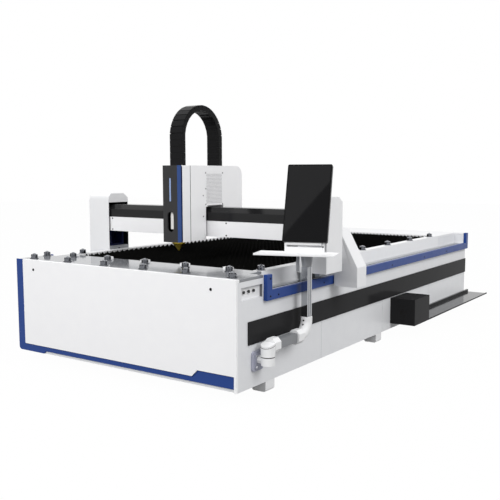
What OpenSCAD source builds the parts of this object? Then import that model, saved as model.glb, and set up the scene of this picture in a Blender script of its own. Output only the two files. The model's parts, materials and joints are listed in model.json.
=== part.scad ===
// Flatbed fibre laser cutting machine with an open slat table, a travelling gantry and a swing-arm console.
// Millimetres, +Z up. The origin lies on the floor, in the middle of the corner feet's bolt holes.
// Places along the machine are measured back from the front cover's face.

/* [Bed] */
// Width of the bed across its side panels
bed_w = 2200; // [2100:10:2300]
// Length of the bed from the front cover to the rear panel
bed_l = 4530; // [4450:10:4700]
// Height of the feet below the bed casing
foot_h = 75; // [60:1:100]
// Side of a square foot
foot_w = 115; // [90:1:140]
// First pair of feet behind the front face
foot_first = 402; // [300:1:450]
// Pitch of the feet along the bed
foot_pitch = 1790; // [1700:10:1900]
// Radius of the bolt hole in each foot
foot_hole_r = 9; // [6:0.5:12]
// Height of the table rim above the floor
table_z = 826; // [800:1:860]
// Drop from the table rim to the guide ledges
ledge_drop = 111; // [100:1:120]
// Width of each guide ledge
ledge_w = 110; // [106:1:130]
// Width of each side rim channel
rim_w = 78; // [60:1:80]
// Sheet thickness of the rims
rim_t = 8; // [4:1:12]
// Length of the front deck up to the pit
front_deck_l = 460; // [440:1:480]
// Length of the rear deck behind the pit
rear_deck_l = 580; // [500:1:600]
// Thickness of the two deck plates
deck_t = 20; // [10:1:25]
// Height of the scrap pit's floor above the floor
pit_floor_z = 225; // [150:5:260]

/* [Front] */
// How far the white front cover stands proud of the casing
cover_t = 20; // [15:1:30]
// Thickness of the blue frame round the front cover
trim_t = 10; // [6:1:14]
// Width of the front cover's folded top
cover_fold = 38; // [25:1:60]
// Width of the blue frame's left upright on the front
trim_w = 76; // [50:1:90]
// How far the blue frame wraps past the left side
trim_out = 14; // [4:1:20]
// Height of the blue frame's bottom bar
trim_bar_h = 62; // [50:1:80]
// Rise of the bottom bar's right end
trim_raise_h = 48; // [20:1:70]
// Length of the bottom bar's raised right end
trim_raise_l = 328; // [200:1:400]
// Radius of the blue frame's bottom corner
trim_corner_r = 30; // [10:1:45]

/* [Sides] */
// Thickness of the blue side trims
rail_trim_t = 32; // [15:1:34]
// Height of the blue side trims
rail_trim_h = 68; // [50:1:90]
// Length of the trims' upright ends
rail_trim_end_l = 65; // [40:1:90]
// Start of the side trims behind the front face
rail_trim_y = 318; // [300:1:340]
// Height of the black side band above the floor
band_z = 373; // [360:1:390]
// Height of the black side band itself
band_h = 158; // [120:1:170]
// Thickness of the black side band
band_t = 10; // [4:1:14]
// Start of the black band behind the front face
band_y = 129; // [100:1:150]

/* [Slats] */
// Pitch of the support slats
slat_pitch = 70; // [60:1:100]
// Thickness of a slat
slat_t = 4; // [3:0.5:8]
// Height of a slat from its foot to its points
slat_h = 110; // [90:1:130]
// Pitch of the teeth along a slat
tooth_pitch = 66; // [60:1:100]
// Depth of the teeth
tooth_h = 24; // [10:1:35]
// Height of the notched bearer bars
bearer_h = 60; // [40:1:80]
// Thickness of the notched bearer bars
bearer_t = 12; // [8:1:20]

/* [Transfer balls] */
// Radius of a transfer ball
ball_r = 20; // [14:0.5:22]
// Wall of the cup round the ball
cup_wall = 7; // [4:0.5:8]
// Width of the cup's flange
flange_w = 7; // [4:0.5:8]
// How far a ball stands out of its cup
ball_rise = 8; // [5:0.5:10]
// Pitch of the balls across the decks
deck_ball_pitch = 400; // [350:5:420]
// Pitch of the balls along the side rims
rim_ball_pitch = 545; // [500:5:570]

/* [Gantry] */
// Front of the end housings behind the console's post at rest
gantry_back = 198; // [190:1:248]
// How far an end housing stands out past the bed's side
gantry_over = 145; // [135:1:180]
// Gap between an end housing and the table rim
housing_clear = 6; // [4:1:20]
// Room behind the beam in an end housing
housing_back = 50; // [40:1:80]
// Underside of the end housings above the guide ledges
housing_rise = 50; // [45:1:60]
// Height of an end housing
housing_h = 569; // [540:1:590]
// Sheet thickness of the end housings
housing_t = 6; // [4:1:8]
// Underside of the beam above the guide ledges
beam_rise = 282; // [270:1:290]
// Height of the beam's white front panel
beam_h = 127; // [110:1:135]
// Depth of the beam front to back
beam_d = 180; // [160:1:190]
// Thickness of the white front panel
beam_panel_t = 10; // [6:1:14]
// Height of the black cover on the beam
beam_cover_h = 111; // [90:1:118]
// Width of a linear guide rail
guide_w = 35; // [25:1:45]
// Height of a linear guide rail
guide_h = 30; // [20:1:36]
// Width of the chain arm outside the bed
arm_w = 200; // [180:1:220]
// Depth of the chain arm
arm_d = 160; // [140:1:180]
// How far the chain arm reaches below the guide ledges
arm_drop = 83; // [55:1:115]
// Height of the chain arm
arm_h = 443; // [400:1:470]

/* [Cutting head] */
// Middle of the head across the machine at rest
head_x = 34; // [-100:1:100]
// Width of the head housing
head_w = 172; // [165:1:190]
// How far the head cover stands in front of the end housings
head_reach = 340; // [320:1:350]
// Depth of the front cover with its side strips
head_cover_d = 48; // [40:1:60]
// Underside of the head housing above the table rim
head_rise = 144; // [139:1:154]
// Height of the head housing
head_h = 605; // [580:1:630]
// How far the saddle reaches behind the end housings
head_tail = 268; // [240:1:290]
// Axis of the nozzle behind the front of the head cover
nozzle_back = 100; // [98:1:105]
// Tip of the nozzle above the table rim at rest
nozzle_rise = 71; // [66:1:74]
// Radius of the nozzle cone's wide end
nozzle_r = 54; // [40:1:56]
// Radius of the cutting head's barrel
barrel_r = 36; // [28:1:40]

/* [Energy chain] */
// Width of the energy chain
chain_w = 125; // [100:1:130]
// Thickness of the energy chain
chain_t = 45; // [36:1:50]
// Radius of the chain's arch at its middle line
chain_r = 239; // [220:1:245]
// Top of the chain's arch above the head housing
chain_rise = 485; // [425:5:525]
// Pitch of the chain's links
link_pitch = 50; // [40:1:60]

/* [Console] */
// Turn of the console towards the operator in degrees
console_turn = 17.3; // [10:0.1:20]
// Width of the console tray
tray_w = 583; // [540:1:600]
// Depth of the console tray
tray_d = 190; // [170:1:200]
// Thickness of the console tray
tray_t = 14; // [10:1:20]
// Top of the console tray above the floor
tray_z = 950; // [940:1:960]
// Width of the screen
screen_w = 330; // [300:1:350]
// Height of the screen along its own face
screen_h = 580; // [540:1:600]
// Thickness of the screen housing
screen_t = 34; // [25:1:40]
// Lean of the screen back from upright in degrees
screen_lean = 18; // [10:0.5:22]
// Radius of the stand's post
post_r = 17; // [14:0.5:20]
// Axis of the swivel and the post outside the bed's side
post_out = 93; // [85:1:130]
// Axis of the swivel behind the front face
swivel_y = 233; // [225:1:245]
// Length of the swing arm between the swivel and the post
swing_l = 509; // [480:1:530]
// Radius of the swivel housing
swivel_r = 47; // [42:1:52]

/* [Chain tray] */
// Width of the energy chain's tray outside the bed
trough_w = 240; // [220:1:260]
// Start of the tray's end box behind the front face
trough_y = 2440; // [2400:5:2500]
// Length of the end box
trough_box_l = 360; // [320:1:400]
// Gap between the black band and the end box below it
box_drop = 8; // [4:1:20]
// Height of the end box
trough_box_h = 240; // [220:1:245]
// Length of the tray with its box
trough_l = 2180; // [2100:10:2250]

/* [Hidden] */
// Facets round a circle
$fn = 48;
// Overrun of every cut
over = 1;
// Running gap between pieces that slide past each other
gap = 0.4;
// Radial clearance of a pin that turns in its bore
pin_gap = 0.05;

// The front face lies this far from the origin, which is in the middle of the feet
foot_count = floor((bed_l - foot_first - foot_w) / foot_pitch) + 1;
front_y = -foot_first - foot_pitch * (foot_count - 1) / 2;
half_w = bed_w / 2;
rim_out = half_w - ledge_w;
pit_half = rim_out - rim_w;
pit_y0 = front_deck_l;
pit_y1 = bed_l - rear_deck_l;
ledge_z = table_z - ledge_drop;

// Places that the gantry, the head and the console share
post_x = half_w + post_out;
post_y = swivel_y + swing_l;
beam_inset = 20;
gantry_y = post_y + gantry_back;
gantry_half = half_w + gantry_over;
housing_y1 = gantry_y + beam_inset + beam_d + housing_back;
housing_x0 = rim_out + housing_clear;
housing_w = gantry_half - housing_x0;
housing_z = ledge_z + housing_rise;
housing_top = housing_z + housing_h;
beam_z = ledge_z + beam_rise;
head_y = gantry_y - head_reach;
head_z = table_z + head_rise;
head_top = head_z + head_h;
head_back_y = housing_y1 + head_tail;
nozzle_y = head_y + nozzle_back;
nozzle_z = table_z + nozzle_rise;
chain_top = head_top + chain_rise;
trough_z = band_z - box_drop - trough_box_h;

// Everything below is drawn from the front face and the floor
module from_front() translate([0, front_y, 0]) children();
// A box between two corners
module block(low, high) translate(low) cube(high - low);
// An outline in X and Z drawn along Y
module along_y(points, y0, y1)
    translate([0, y1, 0]) rotate([90, 0, 0]) linear_extrude(y1 - y0) polygon(points);
// An outline in Y and Z drawn along X
module along_x(points, x0, x1)
    translate([x0, 0, 0]) rotate([90, 0, 90]) linear_extrude(x1 - x0) polygon(points);
// A shape on the right side, or its twin on the left
module on_side(side) mirror([side < 0 ? 1 : 0, 0, 0]) children();

// Bed values
foot_chamfer = 12;
foot_hole_depth = 60;
pocket_y = 58;
pocket_l = 248;
pocket_z = 678;
pocket_h = 88;
pocket_depth = 25;
plate_t = 3;
button_r = 11;
button_h = 6;
button_travel = 5;
button_pitch = 58;
button_first = 108;
button_z = 731;
button_stem_r = 8;
lamp_y = 74;
lamp_r = 8;
lamp_h = 6;
seam_w = 3;
seam_depth = 4;
seam_count = 3;

// Guide rails and racks lie in a groove along each ledge
guide_end = 20;
guide_y0 = rail_trim_y + rail_trim_end_l + guide_end;
guide_y1 = bed_l - rail_trim_end_l - guide_end;
groove_lip = 7;
groove_h = 36;
groove_gap = 5;
groove_x0 = rim_out + groove_lip;
groove_x1 = half_w - groove_lip;
guide_z = ledge_z - groove_h;
bearing_w = 60;
guide_x = groove_x0 + groove_gap + bearing_w / 2;

module bed_frame() color("whitesmoke") from_front() difference() {
    union() {
        block([-half_w, cover_t, foot_h], [half_w, bed_l, ledge_z]);
        block([-half_w, cover_t, ledge_z], [half_w, rail_trim_y, table_z - deck_t]);
        block([-rim_out, rail_trim_y, ledge_z], [rim_out, pit_y0, table_z - deck_t]);
        block([-half_w, bed_l - rail_trim_end_l, ledge_z], [half_w, bed_l, table_z - deck_t]);
        block([-rim_out, pit_y1, ledge_z], [rim_out, bed_l - rail_trim_end_l, table_z - deck_t]);
    }
    block([-pit_half, pit_y0, pit_floor_z], [pit_half, pit_y1, table_z]);
    block([half_w - pocket_depth, pocket_y, pocket_z],
        [half_w + over, pocket_y + pocket_l, pocket_z + pocket_h]);
    for (side = [-1, 1]) on_side(side)
        block([groove_x0, guide_y0, guide_z], [groove_x1, guide_y1, ledge_z + over]);
    for (k = [1 : seam_count], side = [-1, 1]) on_side(side)
        block([half_w - seam_depth, k * bed_l / (seam_count + 1), foot_h - over],
            [half_w + over, k * bed_l / (seam_count + 1) + seam_w, band_z]);
    for (k = [0 : 1 : button_count - 1])
        translate([half_w - pocket_depth, button_first + k * button_pitch, button_z]) rotate([0, -90, 0])
            cylinder(r = button_stem_r + gap, h = button_stem_l + button_travel);
}

module levelling_feet() color("gainsboro") from_front()
    for (side = [-1, 1], k = [0 : foot_count - 1])
        translate([side * (half_w - foot_w / 2), foot_first + k * foot_pitch, 0]) difference() {
            along_y([[-foot_w / 2, foot_h], [foot_w / 2, foot_h], [foot_w / 2, foot_chamfer],
                [foot_w / 2 - foot_chamfer, 0], [foot_chamfer - foot_w / 2, 0], [-foot_w / 2, foot_chamfer]],
                -foot_w / 2, foot_w / 2);
            translate([0, 0, -over]) cylinder(r = foot_hole_r, h = foot_hole_depth + over);
        }

// Front cover and its blue frame
frame_step_l = 290;
frame_step_h = 22;
cover_hole_r = 6;
cover_hole_inset = 130;
cover_hole_drop = 76;
cover_left = -half_w + trim_w;
cover_z0 = foot_h + trim_bar_h;
frame_right_inset = 21;
trim_ramp = 49;
trim_right = half_w - frame_right_inset;
raise_x = half_w - trim_raise_l;
raise_z = cover_z0 + trim_raise_h;

module front_cover() color("white") from_front() difference() {
    union() {
        along_y([[cover_left, table_z], [cover_left, cover_z0], [raise_x - trim_ramp, cover_z0],
            [raise_x, raise_z], [trim_right, raise_z], [trim_right, foot_h], [half_w, foot_h],
            [half_w, table_z]], 0, cover_t);
        block([-half_w, cover_t, table_z - deck_t], [half_w, cover_fold, table_z]);
    }
    for (side = [-1, 1])
        translate([side * (half_w - cover_hole_inset - trim_w), -over, table_z - cover_hole_drop])
            rotate([-90, 0, 0]) cylinder(r = cover_hole_r, h = seam_depth + over);
}

module front_trim() color("royalblue") from_front() difference() {
    along_y([[-half_w - trim_out, table_z], [-half_w - trim_out, foot_h], [frame_step_l - half_w, foot_h],
        [frame_step_l - half_w + frame_step_h, foot_h + frame_step_h], [trim_right, foot_h + frame_step_h],
        [trim_right, raise_z], [raise_x, raise_z], [raise_x - trim_ramp, cover_z0], [cover_left, cover_z0],
        [cover_left, table_z]], cover_t - trim_t, cover_t);
    translate([-half_w - trim_out, 0, foot_h]) difference() {
        block([-over, 0, -over], [trim_corner_r, cover_t + over, trim_corner_r]);
        translate([trim_corner_r, -over, trim_corner_r]) rotate([-90, 0, 0])
            cylinder(r = trim_corner_r, h = cover_t + 3 * over);
    }
}

module deck_plate(y0, y1, wide_y0, wide_y1) union() {
    block([-rim_out, y0, table_z - deck_t], [rim_out, y1, table_z]);
    block([-half_w, wide_y0, table_z - deck_t], [half_w, wide_y1, table_z]);
}

// The front deck carries a row of small white rests for the edge of a sheet
rest_l = 70;
rest_d = 40;
rest_h = 20;
rest_shift = 60;
rest_back = 70;

module front_deck() color("gainsboro") from_front() {
    deck_plate(cover_fold, pit_y0, cover_fold, rail_trim_y);
    translate([-rest_shift, deck_row_2_y + rest_back, table_z]) for (k = [0 : inner_count - 1])
        translate([(k - (inner_count - 1) / 2) * deck_ball_pitch, 0, 0])
            block([-rest_l / 2, -rest_d / 2, 0], [rest_l / 2, rest_d / 2, rest_h]);
}

module rear_deck() color("gainsboro") from_front()
    deck_plate(pit_y1, bed_l, bed_l - rail_trim_end_l, bed_l);

module rim() along_y([[pit_half, ledge_z], [pit_half + rim_t, ledge_z], [pit_half + rim_t, table_z - rim_t],
    [rim_out - rim_t, table_z - rim_t], [rim_out - rim_t, ledge_z], [rim_out, ledge_z], [rim_out, table_z],
    [pit_half, table_z]], pit_y0, pit_y1);

module left_rim() color("white") from_front() on_side(-1) rim();

module right_rim() color("white") from_front() rim();

// Slats with pointed teeth, notched into bearers that span the pit
slat_end_gap = 6;
slat_count = floor((pit_y1 - pit_y0 - slat_pitch) / slat_pitch);
slat_y0 = (pit_y0 + pit_y1 - (slat_count - 1) * slat_pitch) / 2;
slat_l = 2 * (pit_half - slat_end_gap);
tooth_count = floor(slat_l / tooth_pitch);
tooth_w = slat_l / tooth_count;
slat_foot_z = table_z - slat_h;
bearer_notch = 30;
bearer_gap = 0.3;
bearer_side_x = pit_half - bearer_t / 2;

module slat() along_y(concat([[-slat_l / 2, slat_foot_z]], [for (k = [0 : tooth_count - 1])
    each [[-slat_l / 2 + k * tooth_w, table_z - tooth_h], [-slat_l / 2 + (k + 0.5) * tooth_w, table_z]]],
    [[slat_l / 2, table_z - tooth_h], [slat_l / 2, slat_foot_z]]), -slat_t / 2, slat_t / 2);

module support_slats() color("dimgray") from_front()
    for (k = [0 : slat_count - 1]) translate([0, slat_y0 + k * slat_pitch, 0]) slat();

module slat_bearers() color("dimgray") from_front() for (x = [-bearer_side_x, 0, bearer_side_x])
    translate([x, 0, 0]) difference() {
        block([-bearer_t / 2, pit_y0, slat_foot_z + bearer_notch - bearer_h],
            [bearer_t / 2, pit_y1, slat_foot_z + bearer_notch]);
        for (k = [0 : slat_count - 1])
            translate([0, slat_y0 + k * slat_pitch, slat_foot_z])
                block([-bearer_t, -slat_t / 2 - bearer_gap, 0],
                    [bearer_t, slat_t / 2 + bearer_gap, bearer_notch + over]);
    }

// Ball transfer units on the decks and the rims
flange_t = 5;
cup_floor = 2;
cup_mouth_lip = 3;
cup_r = ball_r + cup_wall;
flange_r = cup_r + flange_w;
cup_h = cup_floor + 2 * ball_r - ball_rise;
cup_mouth_r = ball_r - cup_mouth_lip;
deck_row_1_y = 100;
deck_row_2_y = 335;
ball_margin = 60;
rim_ball_start = 52;
left_ball_start = 118;
corner_ball_inset = 42;
corner_ball_y = 280;
rim_ball_y = pit_y0 + rim_ball_start;
rim_ball_count = floor((pit_y1 - rim_ball_y - flange_r) / rim_ball_pitch) + 1;
front_count = floor((bed_w - 2 * ball_margin) / deck_ball_pitch) + 1;
inner_count = floor((2 * rim_out - 2 * ball_margin) / deck_ball_pitch) + 1;
ball_z = table_z + cup_floor + ball_r;
rim_ball_x = pit_half + rim_w / 2;
ball_places = concat(
    [for (k = [0 : front_count - 1]) [(k - (front_count - 1) / 2) * deck_ball_pitch, deck_row_1_y]],
    [for (k = [0 : inner_count - 1]) [(k - (inner_count - 1) / 2) * deck_ball_pitch, deck_row_2_y]],
    [for (k = [0 : rim_ball_count - 1]) [rim_ball_x, rim_ball_y + k * rim_ball_pitch]],
    [[-rim_ball_x, pit_y0 + left_ball_start], [corner_ball_inset - half_w, corner_ball_y]]);
cup_bore_r = ball_r + gap;

// A pressed dome on a flange, open at the top for the ball
module cup() rotate_extrude() difference() {
    union() {
        turned_square(flange_r, 0, flange_t);
        turned_square(cup_r, 0, ball_z - table_z);
        intersection() {
            translate([0, ball_z - table_z]) circle(r = cup_r);
            turned_square(cup_r, 0, cup_h);
        }
    }
    translate([0, ball_z - table_z]) circle(r = cup_bore_r);
    turned_square(cup_mouth_r, ball_z - table_z, cup_h + over);
}

// A step of an outline that is turned round the upright axis
module turned_square(r, low, high) translate([0, low]) square([r, high - low]);

module ball_cups() color("silver") from_front()
    for (place = ball_places) translate([place.x, place.y, table_z]) cup();

module transfer_balls() color("silver") from_front()
    for (place = ball_places) translate([place.x, place.y, ball_z]) sphere(r = ball_r);

// Trims and bands on the two sides
module side_trim() along_x([[rail_trim_y, table_z], [rail_trim_y, ledge_z - rail_trim_h],
    [bed_l, ledge_z - rail_trim_h], [bed_l, table_z], [bed_l - rail_trim_end_l, table_z],
    [bed_l - rail_trim_end_l, ledge_z], [rail_trim_y + rail_trim_end_l, ledge_z],
    [rail_trim_y + rail_trim_end_l, table_z]], half_w, half_w + rail_trim_t);

module side_band() block([half_w, band_y, band_z], [half_w + band_t, bed_l, band_z + band_h]);

module left_side_trim() color("royalblue") from_front() on_side(-1) side_trim();

module right_side_trim() color("royalblue") from_front() side_trim();

module left_side_band() color("#202022") from_front() on_side(-1) side_band();

module right_side_band() color("#202022") from_front() side_band();

// Guide rails and racks in the ledges' grooves
guide_waist_share = 0.7;
guide_top_share = 0.55;
rack_w = 20;
rack_h = 24;

module guide_profile(width, height) polygon([[-width / 2, 0], [width / 2, 0],
    [width / 2, height * (1 - guide_top_share)], [width * guide_waist_share / 2, height * guide_top_share],
    [width / 2, height * guide_waist_share], [width / 2, height], [-width / 2, height],
    [-width / 2, height * guide_waist_share], [-width * guide_waist_share / 2, height * guide_top_share],
    [-width / 2, height * (1 - guide_top_share)]]);

module guide_rail() translate([guide_x, guide_y1, guide_z]) rotate([90, 0, 0])
    linear_extrude(guide_y1 - guide_y0) guide_profile(guide_w, guide_h);

module rack() block([groove_x1 - rack_w, guide_y0, guide_z], [groove_x1, guide_y1, guide_z + rack_h]);

module left_guide_rail() color("silver") from_front() on_side(-1) guide_rail();

module right_guide_rail() color("silver") from_front() guide_rail();

module left_rack() color("gray") from_front() on_side(-1) rack();

module right_rack() color("gray") from_front() rack();

// Button panel in its pocket on the right side
button_count = 3;
button_stem_l = 14;
plate_x = half_w - pocket_depth;

module button_plate() color("lightgray") from_front() difference() {
    block([plate_x, pocket_y, pocket_z], [plate_x + plate_t, pocket_y + pocket_l, pocket_z + pocket_h]);
    for (k = [0 : button_count - 1])
        translate([plate_x - over, button_first + k * button_pitch, button_z]) rotate([0, 90, 0])
            cylinder(r = button_stem_r + gap, h = plate_t + 2 * over);
}

module pilot_lamp() color("limegreen") from_front()
    translate([plate_x + plate_t, lamp_y, button_z]) rotate([0, 90, 0]) rotate_extrude()
        polygon([[0, 0], [lamp_r, 0], [lamp_r, lamp_h / 2], [lamp_r / 2, lamp_h], [0, lamp_h]]);

module push_button(index) from_front()
    translate([plate_x, button_first + index * button_pitch, button_z]) rotate([0, 90, 0]) {
        translate([0, 0, button_travel - button_stem_l])
            cylinder(r = button_stem_r, h = button_stem_l + plate_t + gap);
        translate([0, 0, button_travel + plate_t + gap]) cylinder(r = button_r, h = button_h);
    }

module button_start() color("#181818") push_button(0);

module button_pause() color("#181818") push_button(1);

module button_stop() color("#181818") push_button(2);

// Tray for the chain and its end box, outside the right panel
trough_t = 6;
trough_ridge = 34;
trough_ridge_w = 22;
trough_lip = 14;
trough_lip_w = 12;
trough_x1 = half_w + trough_w;
box_wall = 6;
box_port = 46;
box_port_share = 0.36;

module chain_trough() color("#303032") from_front() along_y([[half_w, trough_z], [trough_x1, trough_z],
    [trough_x1, trough_z + trough_lip], [trough_x1 - trough_lip_w, trough_z + trough_lip],
    [trough_x1 - trough_lip_w, trough_z + trough_t], [half_w + trough_ridge_w, trough_z + trough_t],
    [half_w + trough_ridge_w, trough_z + trough_ridge], [half_w, trough_z + trough_ridge]],
    trough_y + trough_box_l, trough_y + trough_l);

module trough_box() color("#202022") from_front() difference() {
    block([half_w, trough_y, trough_z], [trough_x1, trough_y + trough_box_l, trough_z + trough_box_h]);
    block([half_w + trough_ridge_w, trough_y + box_wall, trough_z + trough_t],
        [trough_x1 - trough_lip_w, trough_y + trough_box_l + over, trough_z + trough_box_h - box_wall]);
    translate([half_w + trough_w / 2, trough_y - over, trough_z + trough_box_h * box_port_share])
        block([-box_port / 2, 0, 0], [box_port / 2, box_wall + 2 * over, box_port]);
}

// Gantry: two end housings on carriage plates, joined by the beam
chamfer_front_y = 36;
chamfer_front_z = 60;
chamfer_front_shares = [0.3, 0.4];
chamfer_back_y = 57;
chamfer_back_z = 40;
beam_y0 = gantry_y + beam_inset;
beam_y1 = beam_y0 + beam_d;
opening_rise = 16;
beam_end_gap = 1;
plate_h = 90;
plate_gap = 2;
plate_z0 = housing_z;
cover_bevel_y = 46;
cover_bevel_z = 42;
cover_end_inset = 60;

module housing_outline(inset) polygon([[gantry_y + inset, housing_z], [housing_y1 - inset, housing_z],
    [housing_y1 - inset, housing_top - chamfer_back_z - inset],
    [housing_y1 - chamfer_back_y - inset, housing_top - inset],
    [gantry_y + chamfer_front_y + inset, housing_top - inset],
    [gantry_y + chamfer_front_y * chamfer_front_shares[0] + inset,
        housing_top - chamfer_front_z * chamfer_front_shares[1] - inset],
    [gantry_y + inset, housing_top - chamfer_front_z - inset]]);

opening_z1 = beam_z + beam_h + beam_cover_h + opening_rise;

module end_housing() difference() {
    translate([housing_x0, 0, 0]) rotate([90, 0, 90]) linear_extrude(housing_w) housing_outline(0);
    translate([housing_x0 + housing_t, 0, 0]) rotate([90, 0, 90])
        linear_extrude(housing_w - 2 * housing_t) translate([0, -over]) housing_outline(housing_t);
    block([housing_x0 - over, gantry_y + housing_t, housing_z - over],
        [housing_x0 + housing_t + over, housing_y1 - housing_t, opening_z1]);
}

module carriage_plate() block([housing_x0 + plate_gap, gantry_y + housing_t, plate_z0],
    [gantry_half - housing_t, housing_y1 - housing_t, plate_z0 + plate_h]);

// Riser between the carriage plate and the beam, with a stiffening web
riser_wall = 16;
riser_x0 = housing_x0 + riser_wall;
riser_x1 = gantry_half - housing_t - riser_wall;
riser_z0 = plate_z0 + plate_h;
riser_y0 = beam_y0 + beam_panel_t;
riser_mid_x = (riser_x0 + riser_x1) / 2;

module riser() difference() {
    block([riser_x0, riser_y0, riser_z0], [riser_x1, beam_y1, beam_z]);
    block([riser_x0 - over, riser_y0 + riser_wall, riser_z0 + riser_wall],
        [riser_mid_x - riser_wall / 2, beam_y1 - riser_wall, beam_z - riser_wall]);
    block([riser_mid_x + riser_wall / 2, riser_y0 + riser_wall, riser_z0 + riser_wall],
        [riser_x1 + over, beam_y1 - riser_wall, beam_z - riser_wall]);
}

// Bearing blocks that wrap the guide rails
bearing_l = 70;
bearing_inset = 24;
bearing_lift = 6;
bearing_z0 = guide_z + bearing_lift;

module bearing_blocks() for (y = [gantry_y + bearing_inset, housing_y1 - bearing_inset - bearing_l])
    translate([guide_x, y + bearing_l, 0]) rotate([90, 0, 0]) linear_extrude(bearing_l) difference() {
        translate([-bearing_w / 2, bearing_z0]) square([bearing_w, plate_z0 - bearing_z0]);
        translate([-guide_w / 2 - gap, guide_z]) square([guide_w + 2 * gap, guide_h + gap]);
    }

module left_end_housing() color("white") from_front() on_side(-1) end_housing();

module right_end_housing() color("white") from_front() end_housing();

module left_carriage_plate() color("gray") from_front() on_side(-1) carriage_plate();

module right_carriage_plate() color("gray") from_front() carriage_plate();

module left_riser() color("slategray") from_front() on_side(-1) riser();

module right_riser() color("slategray") from_front() riser();

module left_bearing_blocks() color("dimgray") from_front() on_side(-1) bearing_blocks();

module right_bearing_blocks() color("dimgray") from_front() bearing_blocks();

beam_wall = 14;
beam_end_x = gantry_half - housing_t - beam_end_gap;

module beam() color("lightgray") from_front() difference() {
    block([-beam_end_x, beam_y0 + beam_panel_t, beam_z], [beam_end_x, beam_y1, beam_z + beam_h]);
    block([-beam_end_x - over, beam_y0 + beam_panel_t + beam_wall, beam_z + beam_wall],
        [beam_end_x + over, beam_y1 - beam_wall, beam_z + beam_h - beam_wall]);
}

panel_end_x = housing_x0 + cover_end_inset;

module beam_panel() color("white") from_front()
    block([-panel_end_x, beam_y0, beam_z], [panel_end_x, beam_y0 + beam_panel_t, beam_z + beam_h]);

beam_top = beam_z + beam_h;
beam_cover_top = beam_top + beam_cover_h;

module beam_cover() color("#202022") from_front() along_x([[beam_y0, beam_top], [beam_y1, beam_top],
    [beam_y1, beam_cover_top], [beam_y0 + cover_bevel_y, beam_cover_top],
    [beam_y0, beam_cover_top - cover_bevel_z]], -panel_end_x, panel_end_x);

// Cross rails that the head's saddle runs on, behind the beam
cross_rail_w = 20;
cross_rail_t = 18;
cross_rail_inset = 20;
cross_rail_z = [beam_z + cross_rail_inset, beam_z + beam_h - cross_rail_inset - cross_rail_w];

module beam_rails() color("silver") from_front() for (z = cross_rail_z)
    block([-panel_end_x, beam_y1, z], [panel_end_x, beam_y1 + cross_rail_t, z + cross_rail_w]);

// Arm outside the bed that carries the energy chain of the long travel
arm_gap = 8;
arm_x0 = half_w + rail_trim_t + arm_gap;
arm_x1 = arm_x0 + arm_w;
arm_offset = 68;
arm_y0 = housing_y1 + arm_offset;
arm_z = ledge_z - arm_drop;
arm_top = arm_z + arm_h;
arm_upright_h = 155;
arm_peak_w = 44;
arm_foot_in = 185;
arm_foot_clear = 19;
arm_foot_cap = 5;
arm_foot_x0 = gantry_half - arm_foot_in;
arm_foot_z0 = table_z + arm_foot_clear;

module chain_arm() color("white") from_front() {
    along_y([[arm_x0, arm_z], [arm_x1, arm_z], [arm_x1, arm_z + arm_upright_h],
        [arm_x0 + arm_peak_w, arm_top], [arm_foot_x0, arm_top], [arm_foot_x0, arm_foot_z0],
        [arm_x0, arm_foot_z0]], arm_y0, arm_y0 + arm_d);
    block([arm_foot_x0, housing_y1, arm_foot_z0], [arm_x0 + arm_peak_w, arm_y0, arm_top - arm_foot_cap]);
}

// Head: a saddle over the beam with the lifting barrel in front
head_x0 = head_x - head_w / 2;
head_x1 = head_x + head_w / 2;
shell_y0 = head_y + head_cover_d;
saddle_gap = 14;
shell_y1 = gantry_y + beam_inset - saddle_gap;
saddle_z = beam_z + beam_h + beam_cover_h + saddle_gap;
saddle_block_t = 24;
saddle_back_y = beam_y1 + cross_rail_t + saddle_block_t + gap;
saddle_foot_z = beam_z;
head_corner_y = 84;
head_corner_z = 86;
head_corner_steps = 6;
shell_t = 6;
cavity_back = 84;
cavity_y1 = nozzle_y + cavity_back;
front_t = 12;
front_side_inset = 12;
front_corner_r = 14;
window_w = 66;
window_rise = 82;
window_h = 160;
window_z0 = head_z + window_rise + window_w / 2;
window_z1 = head_z + window_rise + window_h - window_w / 2;
strip_w = 16;
strip_drop = 99;
strip_h = 182;
strip_z1 = head_top - strip_drop;
strip_z0 = strip_z1 - strip_h;
strip_depth = 5;
strip_t = 4;
vent_front = 8;
vent_l = 242;
vent_rise = 3;
vent_drop = 53;
vent_y0 = shell_y1 - vent_front;
vent_y1 = vent_y0 + vent_l;
vent_z0 = saddle_z + vent_rise;
vent_z1 = head_top - vent_drop;
vent_t = 3;
vent_depth = 3;
vent_hole_r = 7;
vent_pitch = 27;
vent_margin = 22;
head_seam_back = 97;
head_seam_w = 5;
head_seam_depth = 4;
head_seam_y = shell_y0 + head_seam_back;
head_corner = [for (k = [0 : head_corner_steps])
    [head_back_y - head_corner_y * (1 - cos(90 * k / head_corner_steps)),
        head_top - head_corner_z * (1 - sin(90 * k / head_corner_steps))]];

module head_housing() color("white") from_front() difference() {
    along_x(concat([[shell_y0, head_top], [shell_y0, head_z], [shell_y1, head_z], [shell_y1, saddle_z],
        [saddle_back_y, saddle_z], [saddle_back_y, saddle_foot_z], [head_back_y, saddle_foot_z]],
        head_corner), head_x0, head_x1);
    block([head_x0 + shell_t, shell_y0 - over, head_z - over],
        [head_x1 - shell_t, cavity_y1, head_top - shell_t]);
    for (side = [-1, 1]) translate([head_x, 0, 0]) on_side(side) {
        block([head_w / 2 - vent_depth, vent_y0, vent_z0], [head_w / 2 + over, vent_y1, vent_z1]);
        block([head_w / 2 - head_seam_depth, head_seam_y, head_z - over],
            [head_w / 2 + over, head_seam_y + head_seam_w, head_top + over]);
    }
}

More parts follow.
